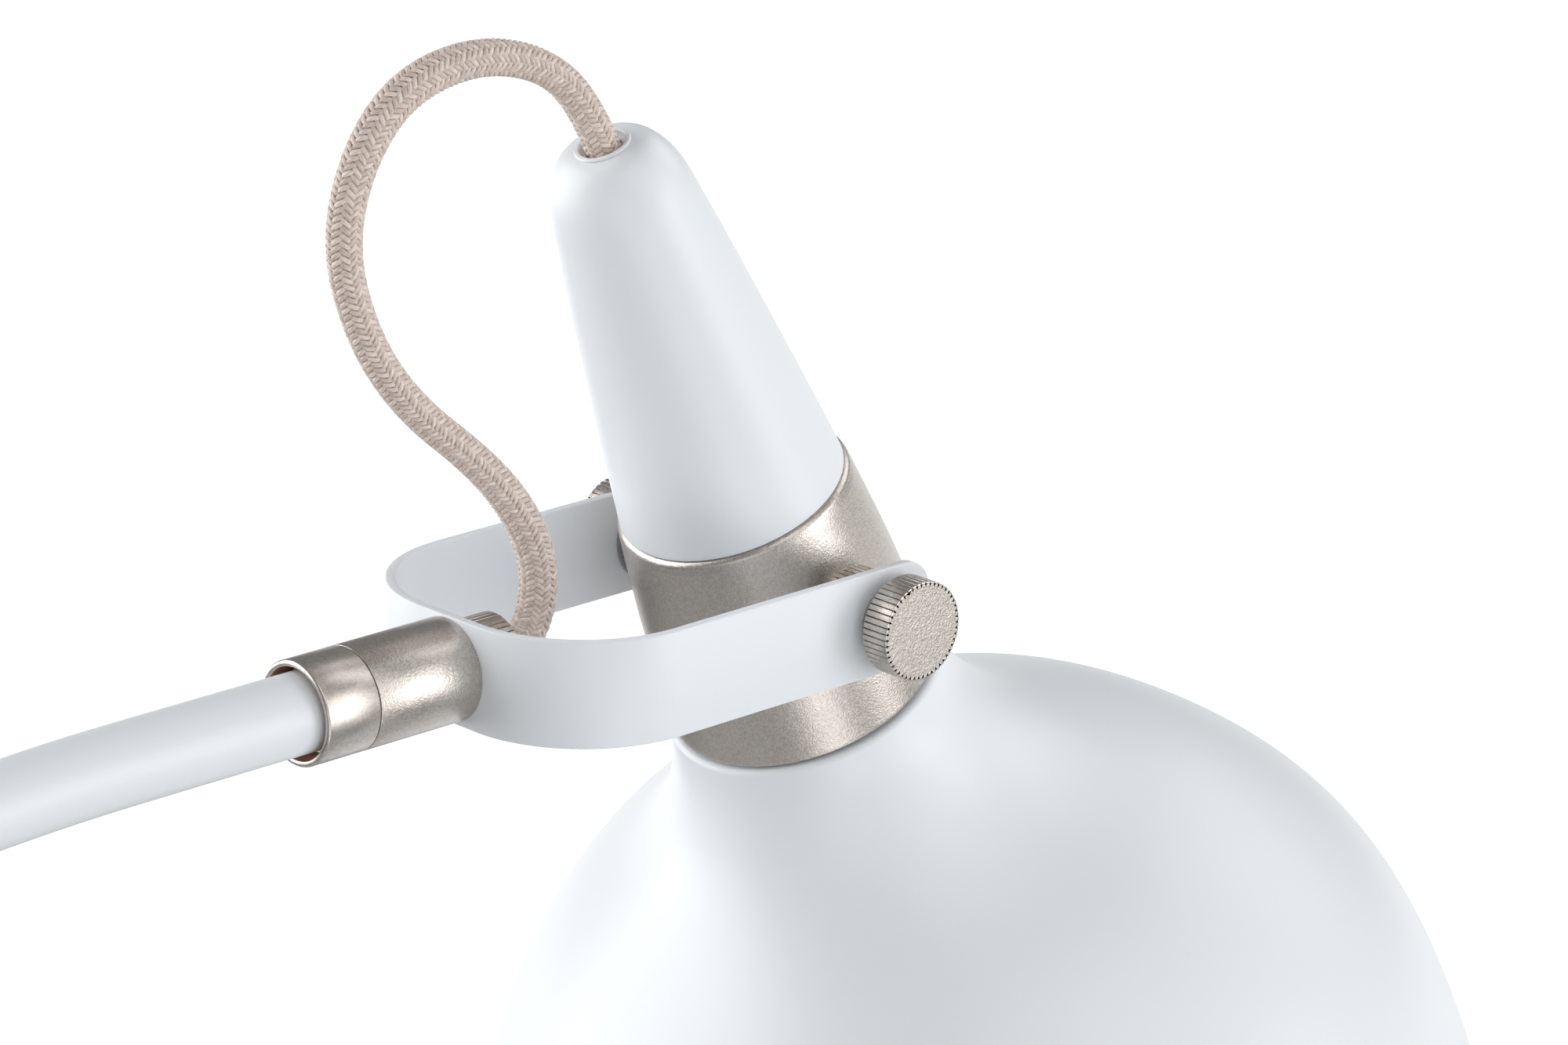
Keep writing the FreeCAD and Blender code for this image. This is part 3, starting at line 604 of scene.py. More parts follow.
def spun(outline, steps, edge=0.0, closed=True):
    """A (radius, height) outline turned once round Z, with its sharp edges softened."""
    shape = bmesh.new()
    corners = [shape.verts.new((radius, 0, height)) for radius, height in outline]
    following = corners[1:] + corners[:1] if closed else corners[1:]
    edges = [shape.edges.new(pair) for pair in zip(corners, following)]
    bmesh.ops.spin(
        shape, geom=corners + edges, cent=(0, 0, 0), axis=(0, 0, 1), angle=ALL_ROUND,
        steps=steps, use_merge=True)
    bmesh.ops.remove_doubles(shape, verts=shape.verts, dist=SAME_PLACE)
    bmesh.ops.recalc_face_normals(shape, faces=shape.faces)
    if edge:
        soften(shape, edge)
    return shape


def knurled(radius, teeth, depth, bottom, top, edge):
    """Disc about Z with straight grooves round its side and a softened rim."""
    shape = bmesh.new()
    per_tooth = 8
    bmesh.ops.create_circle(shape, cap_ends=True, segments=teeth * per_tooth, radius=radius)
    for vertex in list(shape.verts)[::per_tooth]:
        vertex.co *= 1 - depth / radius
    rim = bmesh.ops.extrude_face_region(shape, geom=list(shape.faces))
    lifted = [part for part in rim["geom"] if isinstance(part, bmesh.types.BMVert)]
    bmesh.ops.translate(shape, verts=lifted, vec=(0, 0, top - bottom))
    bmesh.ops.translate(shape, verts=shape.verts, vec=(0, 0, bottom))
    bmesh.ops.recalc_face_normals(shape, faces=shape.faces)
    rims = [
        item for item in shape.edges
        if abs(item.verts[0].co.z - item.verts[1].co.z) < SAME_PLACE
    ]
    bmesh.ops.bevel(
        shape, geom=rims, offset=edge, offset_type="OFFSET", affect="EDGES", segments=2,
        profile=0.5, material=-1, clamp_overlap=True)
    flats = [face for face in shape.faces if len(face.verts) > per_tooth]
    bmesh.ops.inset_individual(shape, faces=flats, thickness=edge, use_even_offset=True)
    return shape


def join(shape, other):
    """Add another bmesh to this one."""
    carrier = bpy.data.meshes.new("carrier")
    other.to_mesh(carrier)
    other.free()
    shape.from_mesh(carrier)
    bpy.data.meshes.remove(carrier)


def make_piece(name, shape, placing, node, *others, finishes=None):
    """Turn a bmesh into the piece that stands for one or more CAD nodes."""
    shape.transform(placing)
    mesh = bpy.data.meshes.new(name)
    shape.to_mesh(mesh)
    shape.free()
    mesh.shade_smooth()
    mesh.set_sharp_from_angle(angle=SHARP_ANGLE)
    for label in finishes or [SLOTS[node]]:
        mesh.materials.append(finish(label))
    piece = bpy.data.objects.new(name, mesh)
    bpy.context.scene.collection.objects.link(piece)
    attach(piece, NODES[node]["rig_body"])
    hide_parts(node, *others)
    return piece


def coat_node(node):
    """Give a CAD node its finish."""
    mesh = NODES[node].data
    mesh.materials.clear()
    mesh.materials.append(finish(SLOTS[node]))


# ---- camera and cord ------------------------------------------------------------------------
def view_axes():
    """The camera's right, up and back directions."""
    setup = studio()
    right = Vector((math.cos(setup.turn), math.sin(setup.turn), 0))
    back = Vector((
        math.sin(setup.turn) * math.cos(setup.tip),
        -math.cos(setup.turn) * math.cos(setup.tip),
        math.sin(setup.tip),
    ))
    up = back.cross(right)
    cosine, sine = math.cos(setup.roll), math.sin(setup.roll)
    return cosine * right + sine * up, cosine * up - sine * right, back


class LAMP_OT_camera(bpy.types.Operator):
    """Add the camera, close in on the head's joint"""

    bl_idname = "lamp.camera"
    bl_label = "Camera"

    def execute(self, context):
        setup = studio()
        right, up, back = view_axes()
        place = PIVOT + right * setup.aside + up * setup.above + back * setup.distance
        lens = bpy.data.cameras.new("camera")
        lens.lens = setup.lens
        lens.sensor_width = 36
        lens.clip_start = 0.01
        lens.clip_end = 200
        camera = bpy.data.objects.new("camera", lens)
        axes = Matrix((right, up, back)).transposed().to_4x4()
        camera.matrix_world = Matrix.Translation(place) @ axes
        context.scene.collection.objects.link(camera)
        context.scene.camera = camera
        return {"FINISHED"}


def route_line():
    """Points of the loop's smooth centreline, read from its own spline."""
    curve = bpy.data.curves.new("loop_route", "CURVE")
    curve.dimensions = "3D"
    curve.resolution_u = 40
    spline = curve.splines.new("NURBS")
    spline.points.add(len(LOOP_ROUTE) - 1)
    for point, (x, z) in zip(spline.points, LOOP_ROUTE):
        point.co = (*(PIVOT + Vector((x, 0, z)) * MM), 1)
    spline.order_u = 3
    spline.use_endpoint_u = True
    guide = bpy.data.objects.new("loop_route", curve)
    bpy.context.scene.collection.objects.link(guide)
    bpy.context.view_layer.update()
    mesh = bpy.data.meshes.new_from_object(guide)
    line = numpy.array([vertex.co for vertex in mesh.vertices])
    bpy.data.objects.remove(guide)
    bpy.data.meshes.remove(mesh)
    return line


def evenly(line, step):
    """The line's points at even distances, the distances, and its direction at each."""
    runs = numpy.linalg.norm(numpy.diff(line, axis=0), axis=1)
    places = numpy.concatenate([[0.0], numpy.cumsum(runs)])
    count = int(places[-1] / step) + 1
    along = numpy.linspace(0, places[-1], count)
    points = numpy.stack([numpy.interp(along, places, line[:, axis]) for axis in range(3)], axis=1)
    heading = numpy.gradient(points, axis=0)
    heading /= numpy.linalg.norm(heading, axis=1)[:, None]
    return points, along, heading


def yarn_tube(centre, out, side, wide, thick, sides):
    """Vertices and faces of a flattened tube along a line of centres."""
    angles = numpy.arange(sides) * ALL_ROUND / sides
    ring = (
        side[:, None, :] * (numpy.cos(angles) * wide)[None, :, None]
        + out[:, None, :] * (numpy.sin(angles) * thick)[None, :, None]
    )
    vertices = (centre[:, None, :] + ring).reshape(-1, 3)
    faces = []
    for row in range(len(centre) - 1):
        for corner in range(sides):
            following = (corner + 1) % sides
            faces.append((
                row * sides + corner, row * sides + following,
                (row + 1) * sides + following, (row + 1) * sides + corner,
            ))
    last = (len(centre) - 1) * sides
    faces.append(tuple(range(sides - 1, -1, -1)))
    faces.append(tuple(last + corner for corner in range(sides)))
    return vertices, faces


def braid_parts(line):
    """The cord's core and yarns: vertices, faces, tone, sides and distances along the cord."""
    fine = sizes()
    twist_length = 0.26
    oval_share = 0.065
    core_share = 0.40
    core_sides = 20
    yarn_sides = 6
    yarn_wide = 0.54 * MM
    yarn_thick = 0.34 * MM
    yarn_inset = 0.46 * MM
    weave = 0.27 * MM
    squareness = 1.6
    points, along, heading = evenly(line, 0.36 * MM)
    across = numpy.tile(numpy.array([0.0, 1.0, 0.0]), (len(points), 1))
    outward = numpy.cross(heading, across)
    twist = along * (ALL_ROUND / twist_length)

    def spot(angle, radius):
        """A place on the slightly oval section, and the direction out of it."""
        oval = 1 + oval_share * numpy.cos(2 * (angle - twist))
        out = outward * numpy.cos(angle)[:, None] + across * numpy.sin(angle)[:, None]
        return points + out * (radius * oval)[:, None], out

    core_side = numpy.cross(heading, outward)
    core = fine.cord_width * core_share
    vertices, faces = yarn_tube(points, outward, core_side, core, core, core_sides)
    yield vertices, faces, 0.0, core_sides, along
    turn = ALL_ROUND / fine.lay
    mean = numpy.full(len(points), fine.cord_width / 2 - yarn_inset)
    crossing = fine.carriers * along * turn / math.pi
    for way in (1, -1):
        for carrier in range(fine.carriers):
            angle = way * along * turn + ALL_ROUND * carrier / fine.carriers
            phase = 2 * carrier + way * crossing - 0.5
            wave = numpy.cos(phase * math.pi / 2)
            lift = way * weave * numpy.tanh(squareness * wave) / numpy.tanh(squareness)
            centre, out = spot(angle, mean + lift)
            run = numpy.gradient(centre, axis=0)
            run /= numpy.linalg.norm(run, axis=1)[:, None]
            side = numpy.cross(run, out)
            side /= numpy.linalg.norm(side, axis=1)[:, None]
            top = numpy.cross(side, run)
            vertices, faces = yarn_tube(centre, top, side, yarn_wide, yarn_thick, yarn_sides)
            tone = 0.5 + 0.5 * math.sin(2.4 * carrier + way)
            yield vertices, faces, tone, yarn_sides, along


class LAMP_OT_cord(bpy.types.Operator):
    """Add the braided cord that loops from the yoke's gland to the head's top"""

    bl_idname = "lamp.cord"
    bl_label = "Braided cord"

    def execute(self, context):
        fibre_shift = 3.7
        fibre_scale = 2.0
        line = route_line()
        vertices, faces, tones, places = [], [], [], []
        for part_vertices, part_faces, tone, sides, along in braid_parts(line):
            start = len(vertices)
            vertices.extend(part_vertices.tolist())
            faces.extend(tuple(start + corner for corner in face) for face in part_faces)
            tones.extend([tone] * len(part_vertices))
            around = numpy.tile(numpy.arange(sides) / sides, len(along))
            places.extend(zip(
                around + fibre_shift * tone, numpy.repeat(along, sides) * fibre_scale))
        mesh = bpy.data.meshes.new("cord_loop_braid")
        mesh.from_pydata(vertices, [], faces)
        mesh.attributes.new("yarn_tone", "FLOAT", "POINT").data.foreach_set("value", tones)
        corners = numpy.empty(len(mesh.loops), numpy.int32)
        mesh.loops.foreach_get("vertex_index", corners)
        layer = mesh.uv_layers.new(name="along_yarn")
        layer.data.foreach_set("uv", numpy.array(places)[corners].ravel())
        mesh.shade_smooth()
        mesh.materials.append(finish("cord_textile"))
        piece = bpy.data.objects.new("cord_loop_braid", mesh)
        context.scene.collection.objects.link(piece)
        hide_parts("cord_loop")
        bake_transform(piece)
        return {"FINISHED"}


# ---- head -----------------------------------------------------------------------------------
class LAMP_OT_shade(bpy.types.Operator):
    """Add the spun bell shade with its rounded neck"""

    bl_idname = "lamp.shade"
    bl_label = "Shade"

    def execute(self, context):
        wall = sizes().shade_wall
        neck_bore = 20.3 * MM
        neck_round = 1.3 * MM
        outer = smooth_through(in_metres(SHADE_SIDE), 90)
        inner = moved_in(outer, wall)[3:]
        top = outer[0][1]
        rolled = rounded(outer[0][0], top, neck_round)[::-1]
        below = [point for point in outer if point[1] < rolled[-1][1] - 0.1 * MM]
        outline = [*rolled, *below, *inner[::-1], (neck_bore, top - wall), (neck_bore, top)]
        shape = spun(outline, sizes().steps, sizes().edge)
        make_piece("shade_shell", shape, ON_HEAD, "shade")
        return {"FINISHED"}


class LAMP_OT_cap(bpy.types.Operator):
    """Add the tapered cap over the head's top"""

    bl_idname = "lamp.cap"
    bl_label = "Head cap"

    def execute(self, context):
        wall = sizes().cap_wall
        outer = smooth_through(in_metres(CAP_SIDE), 80)
        inner = moved_in(outer, -wall)[:-2]
        hole = extents("cap_grommet", ON_HEAD)[1].x - 0.4 * MM
        top = outer[-1][1]
        outline = outer + [(hole, top), (hole, top - wall)] + inner[::-1]
        shape = spun(outline, sizes().steps, sizes().edge)
        make_piece("cap_shell", shape, ON_HEAD, "head_cap")
        return {"FINISHED"}


class LAMP_OT_grommet(bpy.types.Operator):
    """Add the thin ring that lines the cap's cord hole"""

    bl_idname = "lamp.grommet"
    bl_label = "Cord grommet"

    def execute(self, context):
        low, high = extents("cap_grommet", ON_HEAD)
        outer = high.x
        bore = outer - 1.1 * MM
        throat = sizes().cord_width / 2 + 0.25 * MM
        ledge = high.z - 1.3 * MM
        foot = low.z + 1.5 * MM
        lip = 0.5 * MM
        bevel = 0.25 * MM
        outline = [
            (throat, low.z), (outer, low.z), (outer, foot), (outer - lip, foot),
            (outer - lip, high.z - lip), (outer, high.z - lip), (outer, high.z - bevel),
            (outer - 0.2 * MM, high.z), (bore + bevel, high.z), (bore, high.z - bevel),
            (bore, ledge), (throat, ledge),
        ]
        shape = spun(outline, 96, 0.08 * MM)
        make_piece("grommet_ring", shape, ON_HEAD, "cap_grommet")
        return {"FINISHED"}


class LAMP_OT_collar(bpy.types.Operator):
    """Add the blasted metal collar with a round recess at each end of the tilt axis"""

    bl_idname = "lamp.collar"
    bl_label = "Collar"

    def execute(self, context):
        side = smooth_through(in_metres(COLLAR_SIDE), 48)
        top = side[0][1]
        bottom = side[-1][1]
        shoulder = 1.5 * MM
        chamfer = 0.3 * MM
        bore = 21 * MM
        lip = 17 * MM
        lip_under = 8 * MM
        lip_top = 14 * MM
        spigot_bore = 19.2 * MM
        spigot_top = top + 6 * MM
        outline = [
            *rounded(side[0][0] + 0.1 * MM, top, shoulder)[::-1],
            *(point for point in side[1:-1] if point[1] < top - shoulder),
            (side[-1][0], bottom + chamfer), (side[-1][0] - chamfer, bottom), (bore, bottom),
            (bore, lip_under), (lip, lip_under), (lip, lip_top), (spigot_bore, lip_top),
            (spigot_bore, spigot_top), (bore, spigot_top), (bore, top),
        ]
        shape = spun(outline, sizes().steps, 0.1 * MM)
        piece = make_piece("collar_ring", shape, ON_HEAD, "collar")
        for placing, down in ((TO_LEFT, -1), (TO_RIGHT, 1)):
            self.cut(context, piece, self.recess_cutter(side, down), placing)
        piece.data.set_sharp_from_angle(angle=SHARP_ANGLE)
        return {"FINISHED"}

    @staticmethod
    def recess_cutter(side, down):
        """Plug that sinks a round recess into the collar's side, with a chamfer that follows it.

        Built along the tilt axis; down says which way the collar's own height runs across it.
        The rings marked 1, 2 and 3 in height are moved onto the side once they are round.
        """
        radius = 10.7 * MM
        chamfer = 0.7 * MM
        outside = 40 * MM
        mouth = {1: -chamfer, 2: -0.35 * chamfer, 3: chamfer}
        widths = {1: radius, 2: radius + 0.3 * chamfer, 3: radius + 3 * chamfer}
        outline = [(0, RECESS_FLOOR), (radius, RECESS_FLOOR)]
        outline += [(widths[ring], ring) for ring in mouth]
        outline += [(widths[3], outside), (0, outside)]
        shape = spun(outline, 144, closed=False)
        heights, radii = zip(*sorted((height, reach) for reach, height in side))
        for vertex in shape.verts:
            ring = round(vertex.co.z)
            if ring in mouth:
                reach = numpy.interp(down * vertex.co.y, heights, radii)
                vertex.co.z = math.sqrt(reach ** 2 - vertex.co.x ** 2) + mouth[ring]
        return shape

    @staticmethod
    def cut(context, piece, cutter, placing):
        """Take the cutter's volume out of the piece's own mesh."""
        cutter.transform(placing)
        mesh = bpy.data.meshes.new("recess_cutter")
        cutter.to_mesh(mesh)
        cutter.free()
        tool = bpy.data.objects.new("recess_cutter", mesh)
        context.scene.collection.objects.link(tool)
        step = piece.modifiers.new("recess", "BOOLEAN")
        step.operation = "DIFFERENCE"
        step.solver = "EXACT"
        step.object = tool
        context.view_layer.update()
        result = piece.evaluated_get(context.evaluated_depsgraph_get())
        cut_mesh = bpy.data.meshes.new_from_object(result)
        piece.modifiers.remove(step)
        piece.data = cut_mesh
        bpy.data.objects.remove(tool)


def thumb_knob(name, knob, placing):
    """A knurled thumb knob with a plain hub behind it."""
    fine = sizes()
    low, high = extents(knob, placing)
    hub = 6.5 * MM
    disc_foot = low.z + 2.35 * MM
    hub_end = disc_foot + SUNK
    shape = knurled(high.x, fine.knob_teeth, fine.groove_depth, disc_foot, high.z, RIM)
    outline = [(0, low.z), (hub, low.z), (hub, hub_end), (0, hub_end)]
    join(shape, spun(outline, 64, 0.15 * MM, closed=False))
    make_piece(name, shape, placing, knob)


class LAMP_OT_knobs(bpy.types.Operator):
    """Add the knurled thumb knobs at the tilt axis and at the post's clamp"""

    bl_idname = "lamp.knobs"
    bl_label = "Thumb knobs"

    def execute(self, context):
        thumb_knob("tilt_thumb_left", "tilt_knob_left", TO_LEFT)
        thumb_knob("tilt_thumb_right", "tilt_knob_right", TO_RIGHT)
        thumb_knob("lock_thumb", "lock_knob", LOCK_AXIS)
        return {"FINISHED"}


class LAMP_OT_bosses(bpy.types.Operator):
    """Add the grooved discs between the collar's recesses and the strap"""

    bl_idname = "lamp.bosses"
    bl_label = "Pivot bosses"

    def execute(self, context):
        teeth = 42
        shank = 6 * MM
        shank_end = RECESS_FLOOR + SUNK
        for name, placing in (("left", TO_LEFT), ("right", TO_RIGHT)):
            low, high = extents("pivot_boss_" + name, placing)
            shape = knurled(high.x, teeth, sizes().groove_depth, RECESS_FLOOR, high.z, RIM)
            outline = [(0, low.z), (shank, low.z), (shank, shank_end), (0, shank_end)]
            join(shape, spun(outline, 64, closed=False))
            make_piece("pivot_disc_" + name, shape, placing, "pivot_boss_" + name)
        return {"FINISHED"}


# ---- yoke and ferrule -----------------------------------------------------------------------
def bent_round(distance, out, height, radius, back, gap):
    """Place on a U-shaped strap: distance from its middle, out from its centreline, and height."""
    side = 1 if distance >= 0 else -1
    rest = abs(distance) - gap / 2
    if rest < 0:
        return Vector((back - out, distance, height))
    arc = radius * QUARTER_TURN
    if rest < arc:
        angle = rest / radius
        reach = radius + out
        return Vector((
            back + radius - reach * math.cos(angle),
            side * (gap / 2 + reach * math.sin(angle)),
            height,
        ))
    return Vector((back + radius + rest - arc, side * (gap / 2 + radius + out), height))


class LAMP_OT_strap(bpy.types.Operator):
    """Add the flat strap that is bent into the yoke's U"""

    bl_idname = "lamp.strap"
    bl_label = "Yoke strap"

    def execute(self, context):
        low, high = extents("yoke_strap", Matrix.Translation(PIVOT))
        thick = 2 * MM
        width = high.z - low.z
        corner = 27.8 * MM - thick / 2
        end_round = 6.5 * MM
        back = low.x + thick / 2
        gap = 2 * (high.y - thick / 2 - corner)
        straight = high.x - back - corner
        length = gap + 2 * (corner * QUARTER_TURN + straight)
        shape = bmesh.new()
        bmesh.ops.create_cube(shape, size=1)
        bmesh.ops.scale(shape, vec=(length, thick, width), verts=shape.verts)
        ends = [
            edge for edge in shape.edges
            if abs(edge.verts[0].co.y - edge.verts[1].co.y) > thick / 2
        ]
        bmesh.ops.bevel(
            shape, geom=ends, offset=end_round, offset_type="OFFSET", affect="EDGES",
            segments=12, profile=0.5, material=-1)
        soften(shape, sizes().strap_edge, 3)
        cuts = 220
        for index in range(1, cuts):
            place = (index / cuts - 0.5) * length
            bmesh.ops.bisect_plane(
                shape, geom=list(shape.verts) + list(shape.edges) + list(shape.faces),
                dist=SAME_PLACE, plane_co=(place, 0, 0), plane_no=(1, 0, 0))
        for vertex in shape.verts:
            distance, out, height = vertex.co
            vertex.co = bent_round(distance, -out, height, corner, back, gap)
        bmesh.ops.recalc_face_normals(shape, faces=shape.faces)
        make_piece("yoke_band", shape, Matrix.Translation(PIVOT), "yoke_strap")
        return {"FINISHED"}


class LAMP_OT_ferrule(bpy.types.Operator):
    """Add the ring and sleeve of the swivel at the arm's end, and the gland nut inside the yoke"""

    bl_idname = "lamp.ferrule"
    bl_label = "Ferrule and gland"

    def execute(self, context):
        self.ring()
        self.sleeve()
        self.gland()
        return {"FINISHED"}

    @staticmethod
    def ring():
        low, high = extents("ferrule_ring", ALONG_ARM)
        radius = high.x
        bore = radius - 1.3 * MM
        core = 6.4 * MM
        step = low.z + 5.85 * MM
        outer_lip = 0.35 * MM
        inner_lip = 0.25 * MM
        outline = [
            (radius, high.z), (radius, low.z + outer_lip), (radius - outer_lip, low.z),
            (bore + inner_lip, low.z), (bore, low.z + inner_lip), (bore, step),
            (core, step), (core, high.z),
        ]
        shape = spun(outline, 128, 0.16 * MM)
        for face in shape.faces:
            middle = face.calc_center_median()
            if math.hypot(middle.x, middle.y) < bore + 0.1 * MM:
                face.material_index = 1
        make_piece(
            "swivel_ring", shape, ALONG_ARM, "ferrule_ring",
            finishes=["bright_nickel", "copper_bore"])

    @staticmethod
    def sleeve():
        low, high = extents("ferrule_sleeve", ALONG_ARM)
        radius = high.x
        core = 6.5 * MM
        lead_hole = 5 * MM
        chamber = 8.6 * MM
        chamber_start = low.z + 4.2 * MM
        chamber_end = high.z - 4 * MM
        outline = [
            (core, low.z), (radius, low.z), (radius, high.z), (lead_hole, high.z),
            (lead_hole, chamber_end), (chamber, chamber_end), (chamber, chamber_start),
            (core, chamber_start),
        ]
        make_piece("swivel_sleeve", spun(outline, 128, 0.18 * MM), ALONG_ARM, "ferrule_sleeve")

    @staticmethod
    def gland():
        fine = sizes()
        low, high = extents("gland_nut", ALONG_ARM)
        bore = 3.9 * MM
        cone = high.z - 1.0 * MM
        shape = knurled(high.x, fine.gland_teeth, fine.groove_depth, low.z, cone, 0.12 * MM)
        nose = [
            (bore, high.z - 2.0 * MM), (high.x - 0.5 * MM, cone), (high.x - 1.2 * MM, high.z),
            (bore, high.z),
        ]
        join(shape, spun(nose, 96, 0.15 * MM))
        make_piece("gland_knurl", shape, ALONG_ARM, "gland_nut")


# ---- arm, post and base ---------------------------------------------------------------------
class LAMP_OT_arm(bpy.types.Operator):
    """Add the arm: a tube up the mast, round the arc and out to the head"""

    bl_idname = "lamp.arm"
    bl_label = "Arm"

    def execute(self, context):
        low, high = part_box("arm_tube")
        radius = high.y
        arc = 580 * MM
        arc_foot = PIVOT.z - arc
        shape = bmesh.new()
        made = bmesh.ops.create_circle(shape, cap_ends=True, segments=96, radius=radius)
        bmesh.ops.translate(shape, verts=made["verts"], vec=(0, 0, low.z))
        face = self.push(shape, list(shape.faces), Vector((0, 0, arc_foot - low.z)))
        swept = bmesh.ops.spin(
            shape, geom=face, cent=(arc, 0, arc_foot), axis=(0, 1, 0), angle=QUARTER_TURN,
            steps=120)
        bmesh.ops.delete(shape, geom=face, context="FACES")
        end = [part for part in swept["geom_last"] if isinstance(part, bmesh.types.BMFace)]
        self.push(shape, end, Vector((high.x - arc, 0, 0)))
        bmesh.ops.remove_doubles(shape, verts=shape.verts, dist=SAME_PLACE)
        bmesh.ops.recalc_face_normals(shape, faces=shape.faces)
        make_piece("arm_bow", shape, UPRIGHT, "arm_tube")
        return {"FINISHED"}

    @staticmethod
    def push(shape, faces, run):
        """Extrude a face along a straight run and give the new face."""
        made = bmesh.ops.extrude_face_region(shape, geom=faces)
        moved = [part for part in made["geom"] if isinstance(part, bmesh.types.BMVert)]
        bmesh.ops.translate(shape, verts=moved, vec=run)
        return [part for part in made["geom"] if isinstance(part, bmesh.types.BMFace)]


class LAMP_OT_post(bpy.types.Operator):
    """Add the post, its socket on the base and the clamp that the mast slides in"""

    bl_idname = "lamp.post"
    bl_label = "Post"

    def execute(self, context):
        edge = sizes().edge
        lead_hole = 6 * MM
        low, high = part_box("post_tube")
        post = high.x
        post_top = high.z
        bore = post - 2 * MM
        tube = [(bore, low.z), (high.x, low.z), (high.x, high.z), (bore, high.z)]
        make_piece("post_column", spun(tube, 96, edge), UPRIGHT, "post_tube")
        low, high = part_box("post_socket")
        flange = low.z + 6 * MM
        flange_chamfer = 2 * MM
        spigot_chamfer = 1 * MM
        socket = [
            (lead_hole, low.z), (high.x, low.z), (high.x, flange - flange_chamfer),
            (high.x - flange_chamfer, flange), (bore, flange), (bore, high.z - spigot_chamfer),
            (bore - spigot_chamfer, high.z), (lead_hole, high.z),
        ]
        make_piece("post_foot", spun(socket, 128, edge), UPRIGHT, "post_socket")
        low, high = extents("post_clamp", UPRIGHT)
        chamfer = 0.6 * MM
        clamp = [
            (post, low.z), (high.y - chamfer, low.z), (high.y, low.z + chamfer),
            (high.y, high.z - chamfer), (high.y - chamfer, high.z), (bore, high.z),
            (bore, post_top), (post, post_top),
        ]
        make_piece("mast_clamp", spun(clamp, 128, 0.12 * MM), UPRIGHT, "post_clamp")
        return {"FINISHED"}


class LAMP_OT_base(bpy.types.Operator):
    """Add the round base cover and the grooved pad under it"""

    bl_idname = "lamp.base"
    bl_label = "Base"

    def execute(self, context):
        low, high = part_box("base_cover")
        wall = 2 * MM
        outer_round = 5 * MM
        hole = 6 * MM
        outline = [(high.x, low.z), *rounded(high.x, high.z, outer_round), (hole, high.z)]
        inner = rounded(high.x - wall, high.z - wall, outer_round - wall)
        outline += [(hole, high.z - wall), *reversed(inner), (high.x - wall, low.z)]
        make_piece("base_shell", spun(outline, sizes().steps, 0.2 * MM), UPRIGHT, "base_cover")
        low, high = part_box("base_pad")
        chamfer = 0.6 * MM
        groove = 0.5 * MM
        pad = [
            (0, high.z), (high.x, high.z), (high.x, low.z + chamfer), (high.x - chamfer, low.z),
        ]
        for radius in (132 * MM, 124 * MM, 116 * MM, 108 * MM):
            pad += [
                (radius, low.z), (radius - groove, low.z + groove),
                (radius - 3 * groove, low.z + groove), (radius - 4 * groove, low.z),
            ]
        pad.append((0, low.z))
        make_piece("base_foot", spun(pad, sizes().steps, closed=False), UPRIGHT, "base_pad")
        return {"FINISHED"}


# ---- lampholder and bulb --------------------------------------------------------------------
class LAMP_OT_lampholder(bpy.types.Operator):
    """Add the ribbed ring that holds the shade, and the bulb"""

    bl_idname = "lamp.lampholder"
    bl_label = "Lampholder and bulb"

    def execute(self, context):
        self.shade_ring()
        self.bulb_foot()
        self.bulb_glass()
        return {"FINISHED"}

    @staticmethod
    def shade_ring():
        low, high = extents("shade_ring", ON_HEAD)
        teeth = 36
        bore = 20 * MM
        grip = 23 * MM
        grip_top = low.z + 6 * MM
        edge = 0.2 * MM
        shape = knurled(grip, teeth, 0.6 * MM, low.z, grip_top + SUNK, edge)
        flange = [
            (bore, grip_top), (grip, grip_top), (high.x, high.z - 2 * MM), (high.x, high.z),
            (bore, high.z),
        ]
        join(shape, spun(flange, 96, edge))
        make_piece("shade_grip_ring", shape, ON_HEAD, "shade_ring")

    @staticmethod
    def bulb_foot():
        low, high = extents("bulb_foot", ON_HEAD)
        outline = [
            (0, high.z), (4.5 * MM, high.z), (9 * MM, high.z - 3.2 * MM),
            (12.6 * MM, high.z - 4.2 * MM),
        ]
        pitch = 3.6 * MM
        depth = 1 * MM
        turns = 5
        steps = 6
        root = high.x - depth
        thread_top = high.z - 5.5 * MM
        for turn in range(turns):
            for step in range(steps):
                height = thread_top - (turn + step / steps) * pitch
                rise = depth / 2 * (1 - math.cos(ALL_ROUND * step / steps))
                outline.append((root + rise, height))
        outline += [(high.x, low.z), (0, low.z)]
        make_piece("bulb_thread", spun(outline, 72, closed=False), ON_HEAD, "bulb_foot")

    @staticmethod
    def bulb_glass():
        low, high = extents("bulb_glass", ON_HEAD)
        ball = high.x
        centre = low.z + ball
        neck = [(13.2, -40.2), (14.5, -52.0), (22.0, -68.0)]
        shoulder = math.radians(25)
        steps = 30
        flare = in_metres(neck) + [(ball * math.cos(shoulder), centre + ball * math.sin(shoulder))]
        outline = [(0, high.z)] + smooth_through(flare, 24)
        for step in range(1, steps + 1):
            angle = shoulder - step / steps * (shoulder + QUARTER_TURN)
            outline.append((ball * math.cos(angle), centre + ball * math.sin(angle)))
        outline[-1] = (0, low.z)
        make_piece("bulb_globe", spun(outline, 96, closed=False), ON_HEAD, "bulb_glass")


class LAMP_OT_finish_parts(bpy.types.Operator):
    """Give every CAD part its finish, for those that keep their own shape"""

    bl_idname = "lamp.finish_parts"
    bl_label = "Finish the other parts"

    def execute(self, context):
        for node in NODES:
            coat_node(node)
        return {"FINISHED"}


